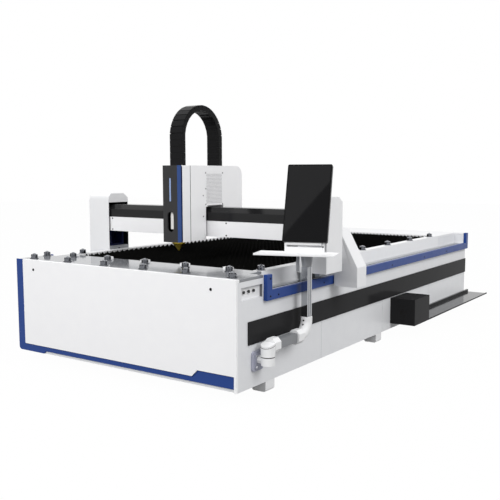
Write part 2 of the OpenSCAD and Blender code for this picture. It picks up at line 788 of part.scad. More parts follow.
// The rounded outline of the head's front, as a bar along the machine
module front_bar() {
    block([-head_w / 2 + front_corner_r, head_y - over, head_z],
        [head_w / 2 - front_corner_r, shell_y0 + over, head_top]);
    block([-head_w / 2, head_y - over, head_z + front_corner_r],
        [head_w / 2, shell_y0 + over, head_top - front_corner_r]);
    for (side = [-1, 1], z = [head_z + front_corner_r, head_top - front_corner_r])
        translate([side * (head_w / 2 - front_corner_r), head_y - over, z]) rotate([-90, 0, 0])
            cylinder(r = front_corner_r, h = head_cover_d + 2 * over);
}

module head_front_cover() color("#2a2a2c") from_front() translate([head_x, 0, 0]) difference() {
    intersection() {
        front_bar();
        block([-head_w / 2 + front_side_inset, head_y, head_z],
            [head_w / 2 - front_side_inset, head_y + front_t, head_top]);
    }
    for (z = [window_z0, window_z1]) translate([0, head_y - over, z]) rotate([-90, 0, 0])
        cylinder(r = window_w / 2, h = front_t + 2 * over);
    block([-window_w / 2, head_y - over, window_z0], [window_w / 2, head_y + front_t + over, window_z1]);
    block([-strip_w / 2, head_y - over, strip_z0], [strip_w / 2, head_y + strip_depth, strip_z1]);
}

module light_strip() color("lightsteelblue") from_front() translate([head_x, head_y + strip_depth, 0])
    block([-strip_w / 2, -strip_t, strip_z0], [strip_w / 2, 0, strip_z1]);

// Blue strips that close the sides of the front cover, with a roof between them
strip_in = head_w / 2 - front_side_inset;
strip_back_in = strip_in - front_side_inset;

module head_side_strips() color("royalblue") from_front() translate([head_x, 0, 0]) intersection() {
    front_bar();
    union() {
        for (side = [-1, 1]) on_side(side) translate([0, 0, head_z]) linear_extrude(head_h)
            polygon([[strip_in, head_y], [head_w / 2, shell_y0], [strip_back_in, shell_y0],
                [strip_back_in, head_y + front_t], [strip_in, head_y + front_t]]);
        block([-strip_back_in, head_y + front_t, head_top - shell_t], [strip_back_in, shell_y0, head_top]);
    }
}

module vent_panels() color("white") from_front() for (side = [-1, 1])
    translate([head_x, 0, 0]) on_side(side) translate([head_w / 2 - vent_depth, 0, 0]) difference() {
        block([0, vent_y0, vent_z0], [vent_t, vent_y1, vent_z1]);
        for (y = [vent_y0 + vent_margin : vent_pitch : vent_y1 - vent_margin],
            z = [vent_z0 + vent_margin : vent_pitch : vent_z1 - vent_margin])
            translate([-over, y, z]) rotate([0, 90, 0])
                cylinder(r = vent_hole_r, h = vent_t + 2 * over, $fn = 6);
    }

// Blocks that guide the saddle along the cross rails
saddle_block_lap = 10;
saddle_block_l = 60;
saddle_block_h = 40;

module saddle_blocks() color("dimgray") from_front() for (z = cross_rail_z, side = [-1, 1])
    translate([head_x + side * (head_w - saddle_block_l) / 2, beam_y1, z + cross_rail_w / 2]) difference() {
        block([-saddle_block_l / 2, cross_rail_t - gap - saddle_block_lap, -saddle_block_h / 2],
            [saddle_block_l / 2, saddle_back_y - beam_y1, saddle_block_h / 2]);
        block([-saddle_block_l, -over, -cross_rail_w / 2 - gap],
            [saddle_block_l, cross_rail_t + gap, cross_rail_w / 2 + gap]);
    }

// Lift: two rails in the housing, a plate that runs on them and the barrel with its nozzle
lift_rail_w = 16;
lift_rail_t = 14;
lift_rail_x = 46;
lift_rail_rise = 40;
lift_rail_drop = 35;
lift_rail_z0 = head_z + lift_rail_rise;
lift_rail_z1 = head_top - lift_rail_drop;
lift_plate_rise = 90;
lift_plate_drop = 155;
lift_plate_z0 = head_z + lift_plate_rise;
lift_plate_z1 = head_top - lift_plate_drop;
lift_plate_w = 120;
barrel_top_h = 20;
barrel_z1 = lift_plate_z1 + barrel_top_h;
barrel_collar_h = 34;
barrel_collar_r = 44;
cone_h = 68;
cone_neck = 8;
cone_tip_r = 9;
cone_tip_h = 12;
nozzle_hole_r = 2;
lift_plate_y1 = cavity_y1 - lift_rail_t - gap;

module lift_rails() color("silver") from_front() for (side = [-1, 1])
    translate([head_x + side * lift_rail_x, cavity_y1, 0])
        block([-lift_rail_w / 2, -lift_rail_t, lift_rail_z0], [lift_rail_w / 2, 0, lift_rail_z1]);

module lift_plate() color("gray") from_front() translate([head_x, 0, 0]) difference() {
    block([-lift_plate_w / 2, nozzle_y, lift_plate_z0], [lift_plate_w / 2, lift_plate_y1, lift_plate_z1]);
    translate([0, nozzle_y, lift_plate_z0 - over])
        cylinder(r = barrel_r, h = lift_plate_z1 - lift_plate_z0 + 2 * over);
}

module head_barrel() color("silver") from_front() translate([head_x, nozzle_y, 0]) {
    translate([0, 0, nozzle_z + cone_h]) cylinder(r = barrel_r, h = barrel_z1 - nozzle_z - cone_h);
    translate([0, 0, lift_plate_z0 - barrel_collar_h]) cylinder(r = barrel_collar_r, h = barrel_collar_h);
    translate([0, 0, lift_plate_z1]) cylinder(r = barrel_collar_r, h = barrel_top_h);
}

module nozzle_cone() color("goldenrod") from_front() translate([head_x, nozzle_y, nozzle_z]) rotate_extrude()
    polygon([[nozzle_hole_r, 0], [cone_tip_r, 0], [cone_tip_r + cone_tip_h / 2, cone_tip_h],
        [nozzle_r, cone_h - cone_neck], [nozzle_r, cone_h], [nozzle_hole_r, cone_h]]);

// Energy chain: a closed core along the arch with a lid for every link
chain_mid_y = nozzle_y + chain_r;
chain_bend_z = chain_top - chain_r - chain_t / 2;
chain_core_share = 0.8;
link_l_share = 0.88;
chain_leg_l = chain_bend_z - head_top;
leg_links = floor(chain_leg_l / link_pitch);
arch_links = floor(chain_r * PI / link_pitch);

module link_lid() block([-chain_w / 2, -chain_t / 2, -link_pitch * link_l_share / 2],
    [chain_w / 2, chain_t / 2, link_pitch * link_l_share / 2]);

module energy_chain() color("#1c1c1e") from_front() translate([head_x, chain_mid_y, chain_bend_z]) {
    rotate([0, 0, 90]) rotate([90, 0, 0]) rotate_extrude(angle = 180)
        translate([chain_r - chain_t * chain_core_share / 2, -chain_w * chain_core_share / 2])
            square([chain_t * chain_core_share, chain_w * chain_core_share]);
    for (side = [-1, 1]) translate([0, side * chain_r, 0]) {
        block([-chain_w * chain_core_share / 2, -chain_t * chain_core_share / 2, -chain_leg_l],
            [chain_w * chain_core_share / 2, chain_t * chain_core_share / 2, 0]);
        for (k = [0 : leg_links - 1])
            translate([0, 0, ((k + 0.5) / leg_links - 1) * chain_leg_l]) link_lid();
    }
    for (k = [0 : arch_links - 1])
        rotate([(k + 0.5) * 180 / arch_links, 0, 0]) translate([0, chain_r, 0]) link_lid();
}

// Stand: a swivel on the right panel, an arm along the bed and a post that carries the console
swivel_plate_w = 132;
swivel_plate_h = 137;
swivel_plate_t = 14;
swivel_plate_z = 184;
swivel_plate_r = 24;
swivel_pad_inset = 22;
swivel_pad_t = 6;
swivel_z0 = 232;
swivel_split_z = 293;
swivel_top_z = 379;
swivel_slope = 15;
swivel_lip = 2;
swivel_pin_r = 20;
swivel_pin_h = 60;
boss_inset = 2;
boss_r = (swivel_split_z - swivel_z0) / 2 - boss_inset;
boss_sides = 8;
arm_tube_w = 60;
arm_tube_h = 66;
arm_tube_z = 326;
arm_axis_z = arm_tube_z + arm_tube_h / 2;
arm_start = 96;
collar_w = 92;
collar_h = 102;
collar_cut = 26;
elbow_reach = 176;
elbow_bend_r = 100;
elbow_r = 42;
elbow_z1 = 482;
post_socket = 90;
post_top_z = tray_z - tray_t;
hub_r = 46;
hub_foot_r = 34;
hub_h = 92;
bend_y = post_y - elbow_bend_r;
bend_z = arm_axis_z + elbow_bend_r;

// A wall plate in Y and Z with round corners, standing on its back face
module wall_plate(width, height, thick, corner) {
    block([0, corner - width / 2, -height / 2], [thick, width / 2 - corner, height / 2]);
    block([0, -width / 2, corner - height / 2], [thick, width / 2, height / 2 - corner]);
    for (y = [-1, 1], z = [-1, 1])
        translate([0, y * (width / 2 - corner), z * (height / 2 - corner)]) rotate([0, 90, 0])
            cylinder(r = corner, h = thick);
}

// A collar round the arm's tube, with its corners cut
module arm_collar(y0, y1) translate([post_x, 0, arm_axis_z]) along_y([
    [-collar_w / 2, collar_cut - collar_h / 2], [collar_cut - collar_w / 2, -collar_h / 2],
    [collar_w / 2 - collar_cut, -collar_h / 2], [collar_w / 2, collar_cut - collar_h / 2],
    [collar_w / 2, collar_h / 2 - collar_cut], [collar_w / 2 - collar_cut, collar_h / 2],
    [collar_cut - collar_w / 2, collar_h / 2], [-collar_w / 2, collar_h / 2 - collar_cut]], y0, y1);

module swivel_base() color("white") from_front() {
    translate([half_w, swivel_y, swivel_plate_z + swivel_plate_h / 2]) {
        wall_plate(swivel_plate_w, swivel_plate_h, swivel_plate_t, swivel_plate_r);
        wall_plate(swivel_plate_w - 2 * swivel_pad_inset, swivel_plate_h - swivel_pad_inset,
            swivel_plate_t + swivel_pad_t, swivel_plate_r - swivel_pad_t);
    }
    translate([half_w + swivel_plate_t, swivel_y, (swivel_z0 + swivel_split_z) / 2]) rotate([0, 90, 0])
        cylinder(r = boss_r, h = post_out - swivel_plate_t, $fn = boss_sides);
    translate([post_x, swivel_y, swivel_z0]) {
        cylinder(r = swivel_r, h = swivel_split_z - swivel_z0);
        cylinder(r = swivel_pin_r, h = swivel_split_z - swivel_z0 + swivel_pin_h);
    }
}

module swivel_head() color("white") from_front() difference() {
    union() {
        difference() {
            translate([post_x, swivel_y, swivel_split_z + gap])
                cylinder(r = swivel_r + swivel_lip, h = swivel_top_z + swivel_r - swivel_split_z);
            translate([post_x, swivel_y, swivel_top_z]) rotate([swivel_slope, 0, 0])
                block([-2 * swivel_r, -2 * swivel_r, 0], [2 * swivel_r, 2 * swivel_r, 2 * swivel_r]);
        }
        arm_collar(swivel_y + swivel_pin_r + swivel_lip, swivel_y + arm_start);
    }
    translate([post_x, swivel_y, swivel_split_z - over])
        cylinder(r = swivel_pin_r + pin_gap, h = swivel_pin_h + over + gap);
}

module swing_arm() color("gray") from_front()
    block([post_x - arm_tube_w / 2, swivel_y + arm_start, arm_tube_z],
        [post_x + arm_tube_w / 2, post_y - elbow_reach, arm_tube_z + arm_tube_h]);

// A cast quarter bend from the arm up to the post's socket
module stand_elbow() color("white") from_front() difference() {
    union() {
        arm_collar(post_y - elbow_reach, bend_y);
        translate([post_x, bend_y, bend_z]) rotate([0, 90, 0]) rotate_extrude(angle = 90)
            translate([elbow_bend_r, 0]) circle(r = elbow_r);
        translate([post_x, post_y, bend_z]) cylinder(r = elbow_r, h = elbow_z1 - bend_z);
    }
    translate([post_x, post_y, elbow_z1 - post_socket]) cylinder(r = post_r, h = post_socket + over);
}

module stand_post() color("lightgray") from_front() translate([post_x, post_y, elbow_z1 - post_socket])
    cylinder(r = post_r, h = post_top_z - elbow_z1 + post_socket - gap);

// Console: drawn with the post at its own origin, then turned towards the operator
tray_left = -348;
tray_back = 13;
tray_rim = 8;
tray_front = tray_back - tray_rim - tray_d;
tray_rim_h = 6;
hub_fin_gap = 8;
hub_fin_w = 24;
hub_fin_t = 6;
hub_fin_h = 130;
hinge_wall = 6;
bracket_w = 262;
bracket_u = -20;
bracket_v0 = -12;
bracket_v1 = 26;
bracket_h = 34;
cheek_t = 14;
hinge_r = 8;
cheek_r = hinge_r + hinge_wall;
hinge_rise = 58;
hinge_z = tray_z + hinge_rise;
hinge_v = 10;
screen_left = -176;
screen_clear = 2;
screen_back = cheek_r + screen_clear + screen_t / 2;
glass_t = 3;
glass_border = 10;
knuckle_r = 15;

module at_post() from_front() translate([post_x, post_y, 0]) rotate([0, 0, console_turn]) children();

module console_tray() color("white") at_post() {
    difference() {
        block([tray_left, tray_front, tray_z - tray_t], [tray_left + tray_w, tray_back, tray_z]);
        block([tray_left + tray_rim, tray_front + tray_rim, tray_z - tray_rim_h],
            [tray_left + tray_w - tray_rim, bracket_v0 - tray_rim, tray_z + over]);
    }
    difference() {
        translate([0, 0, post_top_z - hub_h]) cylinder(r1 = hub_foot_r, r2 = hub_r, h = hub_h);
        translate([0, 0, post_top_z - hub_h - over]) cylinder(r = post_r + pin_gap, h = hub_h + over);
    }
    translate([-hub_r - hub_fin_gap, 0, post_top_z - hub_fin_h])
        block([-hub_fin_w, -hub_fin_t / 2, 0], [0, hub_fin_t / 2, hub_fin_h]);
}

module screen_bracket() color("white") at_post() difference() {
    union() {
        block([bracket_u - bracket_w / 2, bracket_v0, tray_z],
            [bracket_u + bracket_w / 2, bracket_v1, tray_z + bracket_h]);
        for (side = [-1, 1]) translate([bracket_u + side * (bracket_w / 2 + cheek_t / 2), hinge_v, 0]) {
            block([-cheek_t / 2, -cheek_r, tray_z], [cheek_t / 2, cheek_r, hinge_z]);
            translate([-cheek_t / 2, 0, hinge_z]) rotate([0, 90, 0]) cylinder(r = cheek_r, h = cheek_t);
        }
    }
    translate([bracket_u - bracket_w, hinge_v, hinge_z]) rotate([0, 90, 0])
        cylinder(r = hinge_r + pin_gap, h = 2 * bracket_w);
}

module at_hinge() at_post() translate([bracket_u, hinge_v, hinge_z]) rotate([-screen_lean, 0, 0]) children();

screen_u = screen_left - bracket_u;
screen_face = -screen_t / 2 - screen_back;

module screen_housing() color("#242426") at_hinge() {
    block([screen_u, screen_face, 0], [screen_u + screen_w, screen_face + screen_t, screen_h]);
    block([gap - bracket_w / 2, -screen_back, -knuckle_r], [bracket_w / 2 - gap, knuckle_r, knuckle_r]);
    translate([-bracket_w / 2 - cheek_t, 0, 0]) rotate([0, 90, 0])
        cylinder(r = hinge_r, h = bracket_w + 2 * cheek_t);
}

module screen_glass() color("#101012") at_hinge()
    block([screen_u + glass_border, screen_face - glass_t, glass_border],
        [screen_u + screen_w - glass_border, screen_face, screen_h - glass_border]);

bed_frame();
levelling_feet();
front_cover();
front_trim();
front_deck();
rear_deck();
left_rim();
right_rim();
support_slats();
slat_bearers();
ball_cups();
transfer_balls();
left_side_trim();
right_side_trim();
left_side_band();
right_side_band();
left_guide_rail();
right_guide_rail();
left_rack();
right_rack();
button_plate();
pilot_lamp();
button_start();
button_pause();
button_stop();
chain_trough();
trough_box();
swivel_base();
beam();
beam_cover();
beam_panel();
left_end_housing();
right_end_housing();
left_carriage_plate();
right_carriage_plate();
left_riser();
right_riser();
left_bearing_blocks();
right_bearing_blocks();
chain_arm();
beam_rails();
head_housing();
head_front_cover();
head_side_strips();
light_strip();
vent_panels();
saddle_blocks();
lift_rails();
energy_chain();
head_barrel();
lift_plate();
nozzle_cone();
swivel_head();
swing_arm();
stand_elbow();
stand_post();
console_tray();
screen_bracket();
screen_housing();
screen_glass();
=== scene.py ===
# %% [markdown]
# # An open flatbed laser cutter, dressed for a studio picture
# The machine is already built as exact solids. This lesson gives those solids their real skin: rounded
# sheet-metal edges, paint, ground steel and moulded nylon. It adds the screws, the fine slats and the
# chain links that are too small for a construction model. First the solids are loaded as a fixed frame.

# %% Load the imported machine
import json
import math

import bmesh
import bpy
from mathutils import Matrix, Vector


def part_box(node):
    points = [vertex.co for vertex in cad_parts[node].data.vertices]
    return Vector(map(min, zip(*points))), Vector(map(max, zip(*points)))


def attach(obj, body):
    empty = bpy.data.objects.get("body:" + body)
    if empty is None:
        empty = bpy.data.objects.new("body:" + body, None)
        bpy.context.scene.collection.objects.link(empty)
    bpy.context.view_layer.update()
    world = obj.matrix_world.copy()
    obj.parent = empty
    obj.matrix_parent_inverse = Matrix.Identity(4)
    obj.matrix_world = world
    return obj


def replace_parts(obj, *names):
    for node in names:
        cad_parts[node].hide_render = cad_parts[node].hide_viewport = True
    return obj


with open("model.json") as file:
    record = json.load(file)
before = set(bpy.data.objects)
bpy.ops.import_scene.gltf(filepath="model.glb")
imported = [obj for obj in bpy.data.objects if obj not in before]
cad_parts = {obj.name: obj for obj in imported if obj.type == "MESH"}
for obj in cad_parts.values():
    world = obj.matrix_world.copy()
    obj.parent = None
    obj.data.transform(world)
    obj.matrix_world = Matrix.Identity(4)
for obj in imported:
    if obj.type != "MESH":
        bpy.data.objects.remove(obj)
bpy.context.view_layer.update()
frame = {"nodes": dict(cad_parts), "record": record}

mm = 0.001

# %% [markdown]
# ## Colours and nodes
# Paint charts give colours as sRGB hex values, but a shader works on linear light. One function turns
# the first into the second, so every colour below can be read off a chart. Another small function adds
# a shader node, sets its values and links its inputs, which keeps each material to a few lines.

# %% Helpers for colours and shader nodes


def linear(hex_colour):
    """An sRGB hex colour as linear red, green, blue and full alpha."""
    values = [int(hex_colour[i:i + 2], 16) / 255 for i in (1, 3, 5)]
    return [v / 12.92 if v <= 0.04045 else ((v + 0.055) / 1.055) ** 2.4 for v in values] + [1.0]


def add(tree, kind, inputs, **settings):
    """A new node: settings are its own options, inputs are values or the sockets that feed it."""
    node = tree.nodes.new(kind)
    for name, value in settings.items():
        setattr(node, name, value)
    for name, value in inputs.items():
        if isinstance(value, bpy.types.NodeSocket):
            tree.links.new(value, node.inputs[name])
        else:
            node.inputs[name].default_value = value
    return node


def new_material(name):
    """An empty material with its output node."""
    material = bpy.data.materials.new(name)
    material.use_nodes = True
    material.node_tree.nodes.clear()
    return material, material.node_tree, material.node_tree.nodes.new("ShaderNodeOutputMaterial")


print("white chart value in linear light:", round(linear("#ECECEE")[0], 3))

# %% [markdown]
# ## Powder-coated sheet steel
# The panels are folded steel sheet, powder coated and baked. The powder melts into a skin with a faint
# orange peel, and wide panels are never quite flat, so highlights wander a little. Real peel is about
# 2 mm from crest to crest. That is finer than a pixel of this picture, so it is drawn 14 mm wide, and a
# second, much wider wave stands for the sheet's own unevenness.

# %% Coated steel in several colours
PEEL_MM = 14
SHEET_WAVE_MM = 420
DUST_MM = 90


def coated_steel(name, colour, shade, roughness, specular=0.5, peel=0.06):
    """Paint on steel: colour drifts slightly to shade, and roughness drifts with it."""
    material, tree, output = new_material(name)
    place = add(tree, "ShaderNodeTexCoord", {}).outputs["Object"]
    grain = add(tree, "ShaderNodeTexNoise", {"Vector": place, "Scale": 1 / (PEEL_MM * mm), "Detail": 2.0})
    wave = add(tree, "ShaderNodeTexNoise", {"Vector": place, "Scale": 1 / (SHEET_WAVE_MM * mm),
                                            "Detail": 1.0})
    dust = add(tree, "ShaderNodeTexNoise", {"Vector": place, "Scale": 1 / (DUST_MM * mm), "Detail": 4.0})
    tint = add(tree, "ShaderNodeMix", {0: dust.outputs["Fac"], 6: linear(colour), 7: linear(shade)},
               data_type="RGBA")
    gloss = add(tree, "ShaderNodeMapRange", {"Value": dust.outputs["Fac"], "From Min": 0.3, "From Max": 0.7,
                                             "To Min": roughness * 0.9, "To Max": roughness * 1.1})
    sheet = add(tree, "ShaderNodeBump", {"Height": wave.outputs["Fac"], "Strength": 0.04, "Distance": 0.02})
    skin = add(tree, "ShaderNodeBump", {"Height": grain.outputs["Fac"], "Strength": peel, "Distance": 0.0006,
                                        "Normal": sheet.outputs["Normal"]})
    shader = add(tree, "ShaderNodeBsdfPrincipled", {
        "Base Color": tint.outputs[2], "Roughness": gloss.outputs["Result"], "IOR": 1.5,
        "Specular IOR Level": specular, "Normal": skin.outputs["Normal"]})
    tree.links.new(shader.outputs["BSDF"], output.inputs["Surface"])
    return material


# One white paint in three copies. A brighter one carries painted light, for the front cover, the beam panel,
# the head and the vents. The middle one is the plain white. A greyer one carries painted shade, for the bed
# frame's sides.
white_coat = coated_steel("powder_coated_steel_white", "#F0F0F1", "#EBECEE", 0.34, specular=0.4)
lit_white_coat = coated_steel("powder_coated_steel_white_painted_light", "#F9F9FA", "#F5F5F7", 0.34, specular=0.4)
shaded_white_coat = coated_steel("powder_coated_steel_white_painted_shade", "#E7E8EA", "#E1E2E5", 0.34, specular=0.4)
blue_coat = coated_steel("powder_coated_steel_blue", "#2A478A", "#274284", 0.36, specular=0.15)
# A lighter blue for the head's side strips, which is painted light on their chamfered face.
lit_strip_coat = coated_steel("powder_coated_steel_blue_painted_light", "#3C5690", "#38518A", 0.36, specular=0.25)
deck_coat = coated_steel("gloss_coated_steel_mid_grey", "#84868A", "#7D7F83", 0.1)
black_coat = coated_steel("gloss_enamelled_steel_black", "#2C2C2D", "#29292A", 0.12, specular=0.02)
beam_coat = coated_steel("gloss_enamelled_steel_jet_black", "#1E1E1F", "#1B1B1C", 0.12, specular=0.2)
# Dark grey for the gloss black chain trough's floor and ends, which is a painted reflection.
trough_reflection_coat = coated_steel("gloss_black_steel_painted_grey_reflection", "#3A3A3C", "#343436", 0.12, specular=0.35)
charcoal_coat = coated_steel("satin_coated_steel_charcoal", "#3A3A3B", "#373738", 0.42, specular=0.12)
# Dark navy is blue paint with painted shade. It is used on the risers inside the housings and on the back
# edge of the head strips.
shaded_blue_coat = coated_steel("enamelled_steel_blue_painted_shade", "#141A46", "#0E1336", 0.35, specular=0.2)
# Near black as painted shade, for the insides of the housings and the head and for the head's seams.
inside_shade_coat = coated_steel("near_black_steel_painted_inside_shade", "#0B0C12", "#08090E", 0.6, specular=0.1)
grey_coat = coated_steel("satin_coated_steel_light_grey", "#A9ABAF", "#A0A2A6", 0.4, specular=0.3)
# Mid grey for the sheet behind the vents. The same grey is painted shade on the top and far wall of the
# push-button pocket.
lining_and_pocket_shade_coat = coated_steel("mid_grey_steel_lining_and_pocket_shade", "#7C7C80", "#747478", 0.6, specular=0.2)
lilac_coat = coated_steel("enamelled_cast_aluminium_lilac", "#B4B6C6", "#ABADBE", 0.4, 0.3, peel=0.12)
arm_coat = coated_steel("satin_coated_aluminium_grey", "#86888B", "#7E8083", 0.4, specular=0.3)
casting_coat = coated_steel("enamelled_cast_aluminium_white", "#EFEFF0", "#E8E9EA", 0.4, 0.4, peel=0.12)
barrel_coat = coated_steel("satin_coated_aluminium_white", "#F2F0EC", "#EBE9E5", 0.35, specular=0.4)
slat_scale = coated_steel("burnt_mild_steel_slat", "#080808", "#111110", 0.7, specular=0.03, peel=0.3)
print("coated steels:", [m.name for m in bpy.data.materials if "coated" in m.name])

# %% [markdown]
# ## Bare metals
# Guide rails are ground, tubes are drawn and the nozzle is turned. Each leaves fine lines in one
# direction. A noise texture squeezed along that direction gives such lines. The lines of a ground rail
# are under 0.1 mm apart, so they are drawn 3 mm apart to show at all.

# %% Bare metals with a direction of finish
LINE_MM = 3
STRETCH = 60


def bare_metal(name, colour, roughness, along, depth=0.08):
    """A metal whose fine lines run along one axis of the machine."""
    material, tree, output = new_material(name)
    place = add(tree, "ShaderNodeTexCoord", {}).outputs["Object"]
    squeeze = [1 / STRETCH if axis == along else 1.0 for axis in "XYZ"]
    lines = add(tree, "ShaderNodeMapping", {"Vector": place, "Scale": squeeze})
    grain = add(tree, "ShaderNodeTexNoise", {"Vector": lines.outputs["Vector"], "Scale": 1 / (LINE_MM * mm),
                                             "Detail": 3.0})
    gloss = add(tree, "ShaderNodeMapRange", {"Value": grain.outputs["Fac"], "From Min": 0.3, "From Max": 0.7,
                                             "To Min": roughness * 0.8, "To Max": roughness * 1.25})
    skin = add(tree, "ShaderNodeBump", {"Height": grain.outputs["Fac"], "Strength": depth,
                                        "Distance": 0.0005})
    shader = add(tree, "ShaderNodeBsdfPrincipled", {
        "Base Color": linear(colour), "Metallic": 1.0, "Roughness": gloss.outputs["Result"],
        "Normal": skin.outputs["Normal"]})
    tree.links.new(shader.outputs["BSDF"], output.inputs["Surface"])
    return material


ground_steel = bare_metal("ground_bearing_steel", "#BFC2C6", 0.3, "Y")
drawn_aluminium = bare_metal("drawn_aluminium_tube", "#B4B6B9", 0.28, "Z")
profile_aluminium = bare_metal("polished_aluminium_profile", "#A8AAAD", 0.07, "Z", depth=0.02)
plate_aluminium = bare_metal("brushed_aluminium_plate", "#C9CBCE", 0.32, "Y")
pressed_steel = bare_metal("polished_zinc_plated_steel", "#C4C6CA", 0.05, "Z", depth=0.01)
# A darker chrome for the cups' walls, which is a painted dark reflection.
dark_reflection_cup_steel = bare_metal("polished_chromed_steel_painted_dark_reflection", "#6E7075", 0.05, "Z", depth=0.01)
polished_steel = bare_metal("polished_ball_steel", "#9A9CA1", 0.05, "Z", depth=0.0)
turned_brass = bare_metal("turned_brass_nozzle", "#B9A23C", 0.3, "Z")
black_oxide = bare_metal("black_oxide_screw_steel", "#242426", 0.45, "Z", depth=0.02)
print("bare metals:", [m.name for m in bpy.data.materials if "steel" in m.name or "aluminium" in m.name])

# %% [markdown]
# ## Moulded plastics and glass
# The chain links are moulded nylon with a dry, slightly pebbled skin. The buttons are glossier ABS, the
# light strip and the lamp are acrylic, and the screen is dark glass. Moulds are spark-eroded, which
# prints a fine pebble into the skin, here drawn 4 mm wide so that it breaks up the highlights.

# %% Plastics
PEBBLE_MM = 4


def moulded(name, colour, roughness, specular=0.5, pebble=0.1, coat=0.0):
    """A moulded or cast plastic with the mould's pebble."""
    material, tree, output = new_material(name)
    place = add(tree, "ShaderNodeTexCoord", {}).outputs["Object"]
    grain = add(tree, "ShaderNodeTexNoise", {"Vector": place, "Scale": 1 / (PEBBLE_MM * mm), "Detail": 2.0})
    gloss = add(tree, "ShaderNodeMapRange", {"Value": grain.outputs["Fac"], "From Min": 0.3, "From Max": 0.7,
                                             "To Min": roughness * 0.85, "To Max": roughness * 1.15})
    skin = add(tree, "ShaderNodeBump", {"Height": grain.outputs["Fac"], "Strength": pebble,
                                        "Distance": 0.0004})
    shader = add(tree, "ShaderNodeBsdfPrincipled", {
        "Base Color": linear(colour), "Roughness": gloss.outputs["Result"], "IOR": 1.5,
        "Specular IOR Level": specular, "Coat Weight": coat, "Normal": skin.outputs["Normal"]})
    tree.links.new(shader.outputs["BSDF"], output.inputs["Surface"])
    return material


chain_nylon = moulded("moulded_nylon_black", "#151516", 0.3, specular=0.1)
button_abs = moulded("moulded_abs_black", "#121213", 0.25)
screen_abs = moulded("moulded_abs_black_satin", "#121213", 0.35, specular=0.12)
screen_glass = moulded("dark_display_glass", "#1A1A1B", 0.03, specular=0.15, pebble=0.0)
strip_acrylic = moulded("cast_acrylic_pale_blue", "#93A9D6", 0.2)
lamp_acrylic = moulded("cast_acrylic_green", "#2FA84F", 0.15)
print("plastics:", [m.name for m in bpy.data.materials if "moulded" in m.name or "acrylic" in m.name])

# %% [markdown]
# ## From a sharp solid to a made part
# A solid from a construction program has razor edges, and no folded or cast part has. A copy of each
# node is welded, its flat faces are merged, and its edges are rounded by a bevel of the radius that such
# a part has: 2 or 3 mm on a fold, 8 or more on a casting. The copy rides on the same body and stands for
# the node. A weighted-normal modifier keeps the wide faces looking flat beside their rounded edges.

# %% A helper that dresses a node
WELD = 0.00002
FLAT_ANGLE = math.radians(0.5)
CREASE = math.radians(28)

bodies = frame["record"]["behaviour"]["bodies"]
body_of_node = {node: body for body, nodes in bodies.items() for node in nodes}


def finish_mesh(mesh, name, materials, body):
    """Turns a bmesh into a piece with smooth rounds and sharp creases, riding on a body."""
    for face in mesh.faces:
        face.smooth = True
    for edge in mesh.edges:
        edge.smooth = len(edge.link_faces) == 2 and edge.calc_face_angle(0) < CREASE
    data = bpy.data.meshes.new(name)
    mesh.to_mesh(data)
    mesh.free()
    piece = bpy.data.objects.new(name, data)
    bpy.context.scene.collection.objects.link(piece)
    for material in materials:
        data.materials.append(material)
    normals = piece.modifiers.new("even_faces", "WEIGHTED_NORMAL")
    normals.keep_sharp = True
    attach(piece, body)
    return piece


def clean_copy(node, merge=True):
    """The node's mesh with its doubled corners welded and, unless it has a window, its faces merged."""
    mesh = bmesh.new()
    mesh.from_mesh(frame["nodes"][node].data)
    bmesh.ops.remove_doubles(mesh, verts=mesh.verts, dist=WELD)
    if merge:
        bmesh.ops.dissolve_limit(mesh, angle_limit=FLAT_ANGLE, verts=mesh.verts, edges=mesh.edges)
    return mesh


def round_edges(mesh, radius, segments):
    """Rounds every edge that folds by more than the crease angle."""
    folds = [e for e in mesh.edges if len(e.link_faces) == 2 and e.calc_face_angle(0) > CREASE]
    bmesh.ops.bevel(mesh, geom=folds, offset=radius * mm, segments=segments, profile=0.5, affect="EDGES",
                    clamp_overlap=True)


def round_corners(mesh, radius, thick):
    """Rounds a panel's four corners: the outermost edges that are square to its wide face."""
    centre = sum((corner.co for corner in mesh.verts), Vector()) / len(mesh.verts)
    facing = max(mesh.faces, key=lambda face: face.calc_area()).normal
    corners = []
    for edge in mesh.edges:
        run = edge.verts[1].co - edge.verts[0].co
        if abs(run.length - thick * mm) < 0.2 * mm and abs(run.normalized().dot(facing)) > 0.99:
            corners.append(edge)
    corners.sort(key=lambda edge: ((edge.verts[0].co + edge.verts[1].co) / 2 - centre).length)
    bmesh.ops.bevel(mesh, geom=corners[-4:], offset=radius * mm, segments=5, profile=0.5, affect="EDGES")


def dress(node, material, radius, second=None, where=None, split_y=None, corner=None, merge=True):
    """A rounded copy of a node, with a second material on the faces that pass the test where."""
    mesh = clean_copy(node, merge)
    if corner:
        round_corners(mesh, *corner)
    if radius:
        round_edges(mesh, radius, 2)
    if split_y is not None:
        everything = mesh.verts[:] + mesh.edges[:] + mesh.faces[:]
        bmesh.ops.bisect_plane(mesh, geom=everything, plane_co=(0, split_y, 0), plane_no=(0, 1, 0))
    for face in mesh.faces:
        face.material_index = int(where is not None and where(face))
    finishes = [material] if second is None else [material, second]
    piece = finish_mesh(mesh, node + "_skin", finishes, body_of_node[node])
    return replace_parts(piece, node)


# %% [markdown]
# ## The bed
# The bed is a welded frame behind folded panels. White panels, a blue frame round the front, blue trims
# along the ledges and a glossy black band along each side give it its look. Nearly all of it is sheet,
# so the edges get the small radius of a press brake. Some nodes have two finishes. The top and far wall
# of the pocket for the push buttons are a mid grey, which is painted shade, and the walls of the ball
# cups are a darker chrome, which is a painted dark reflection.

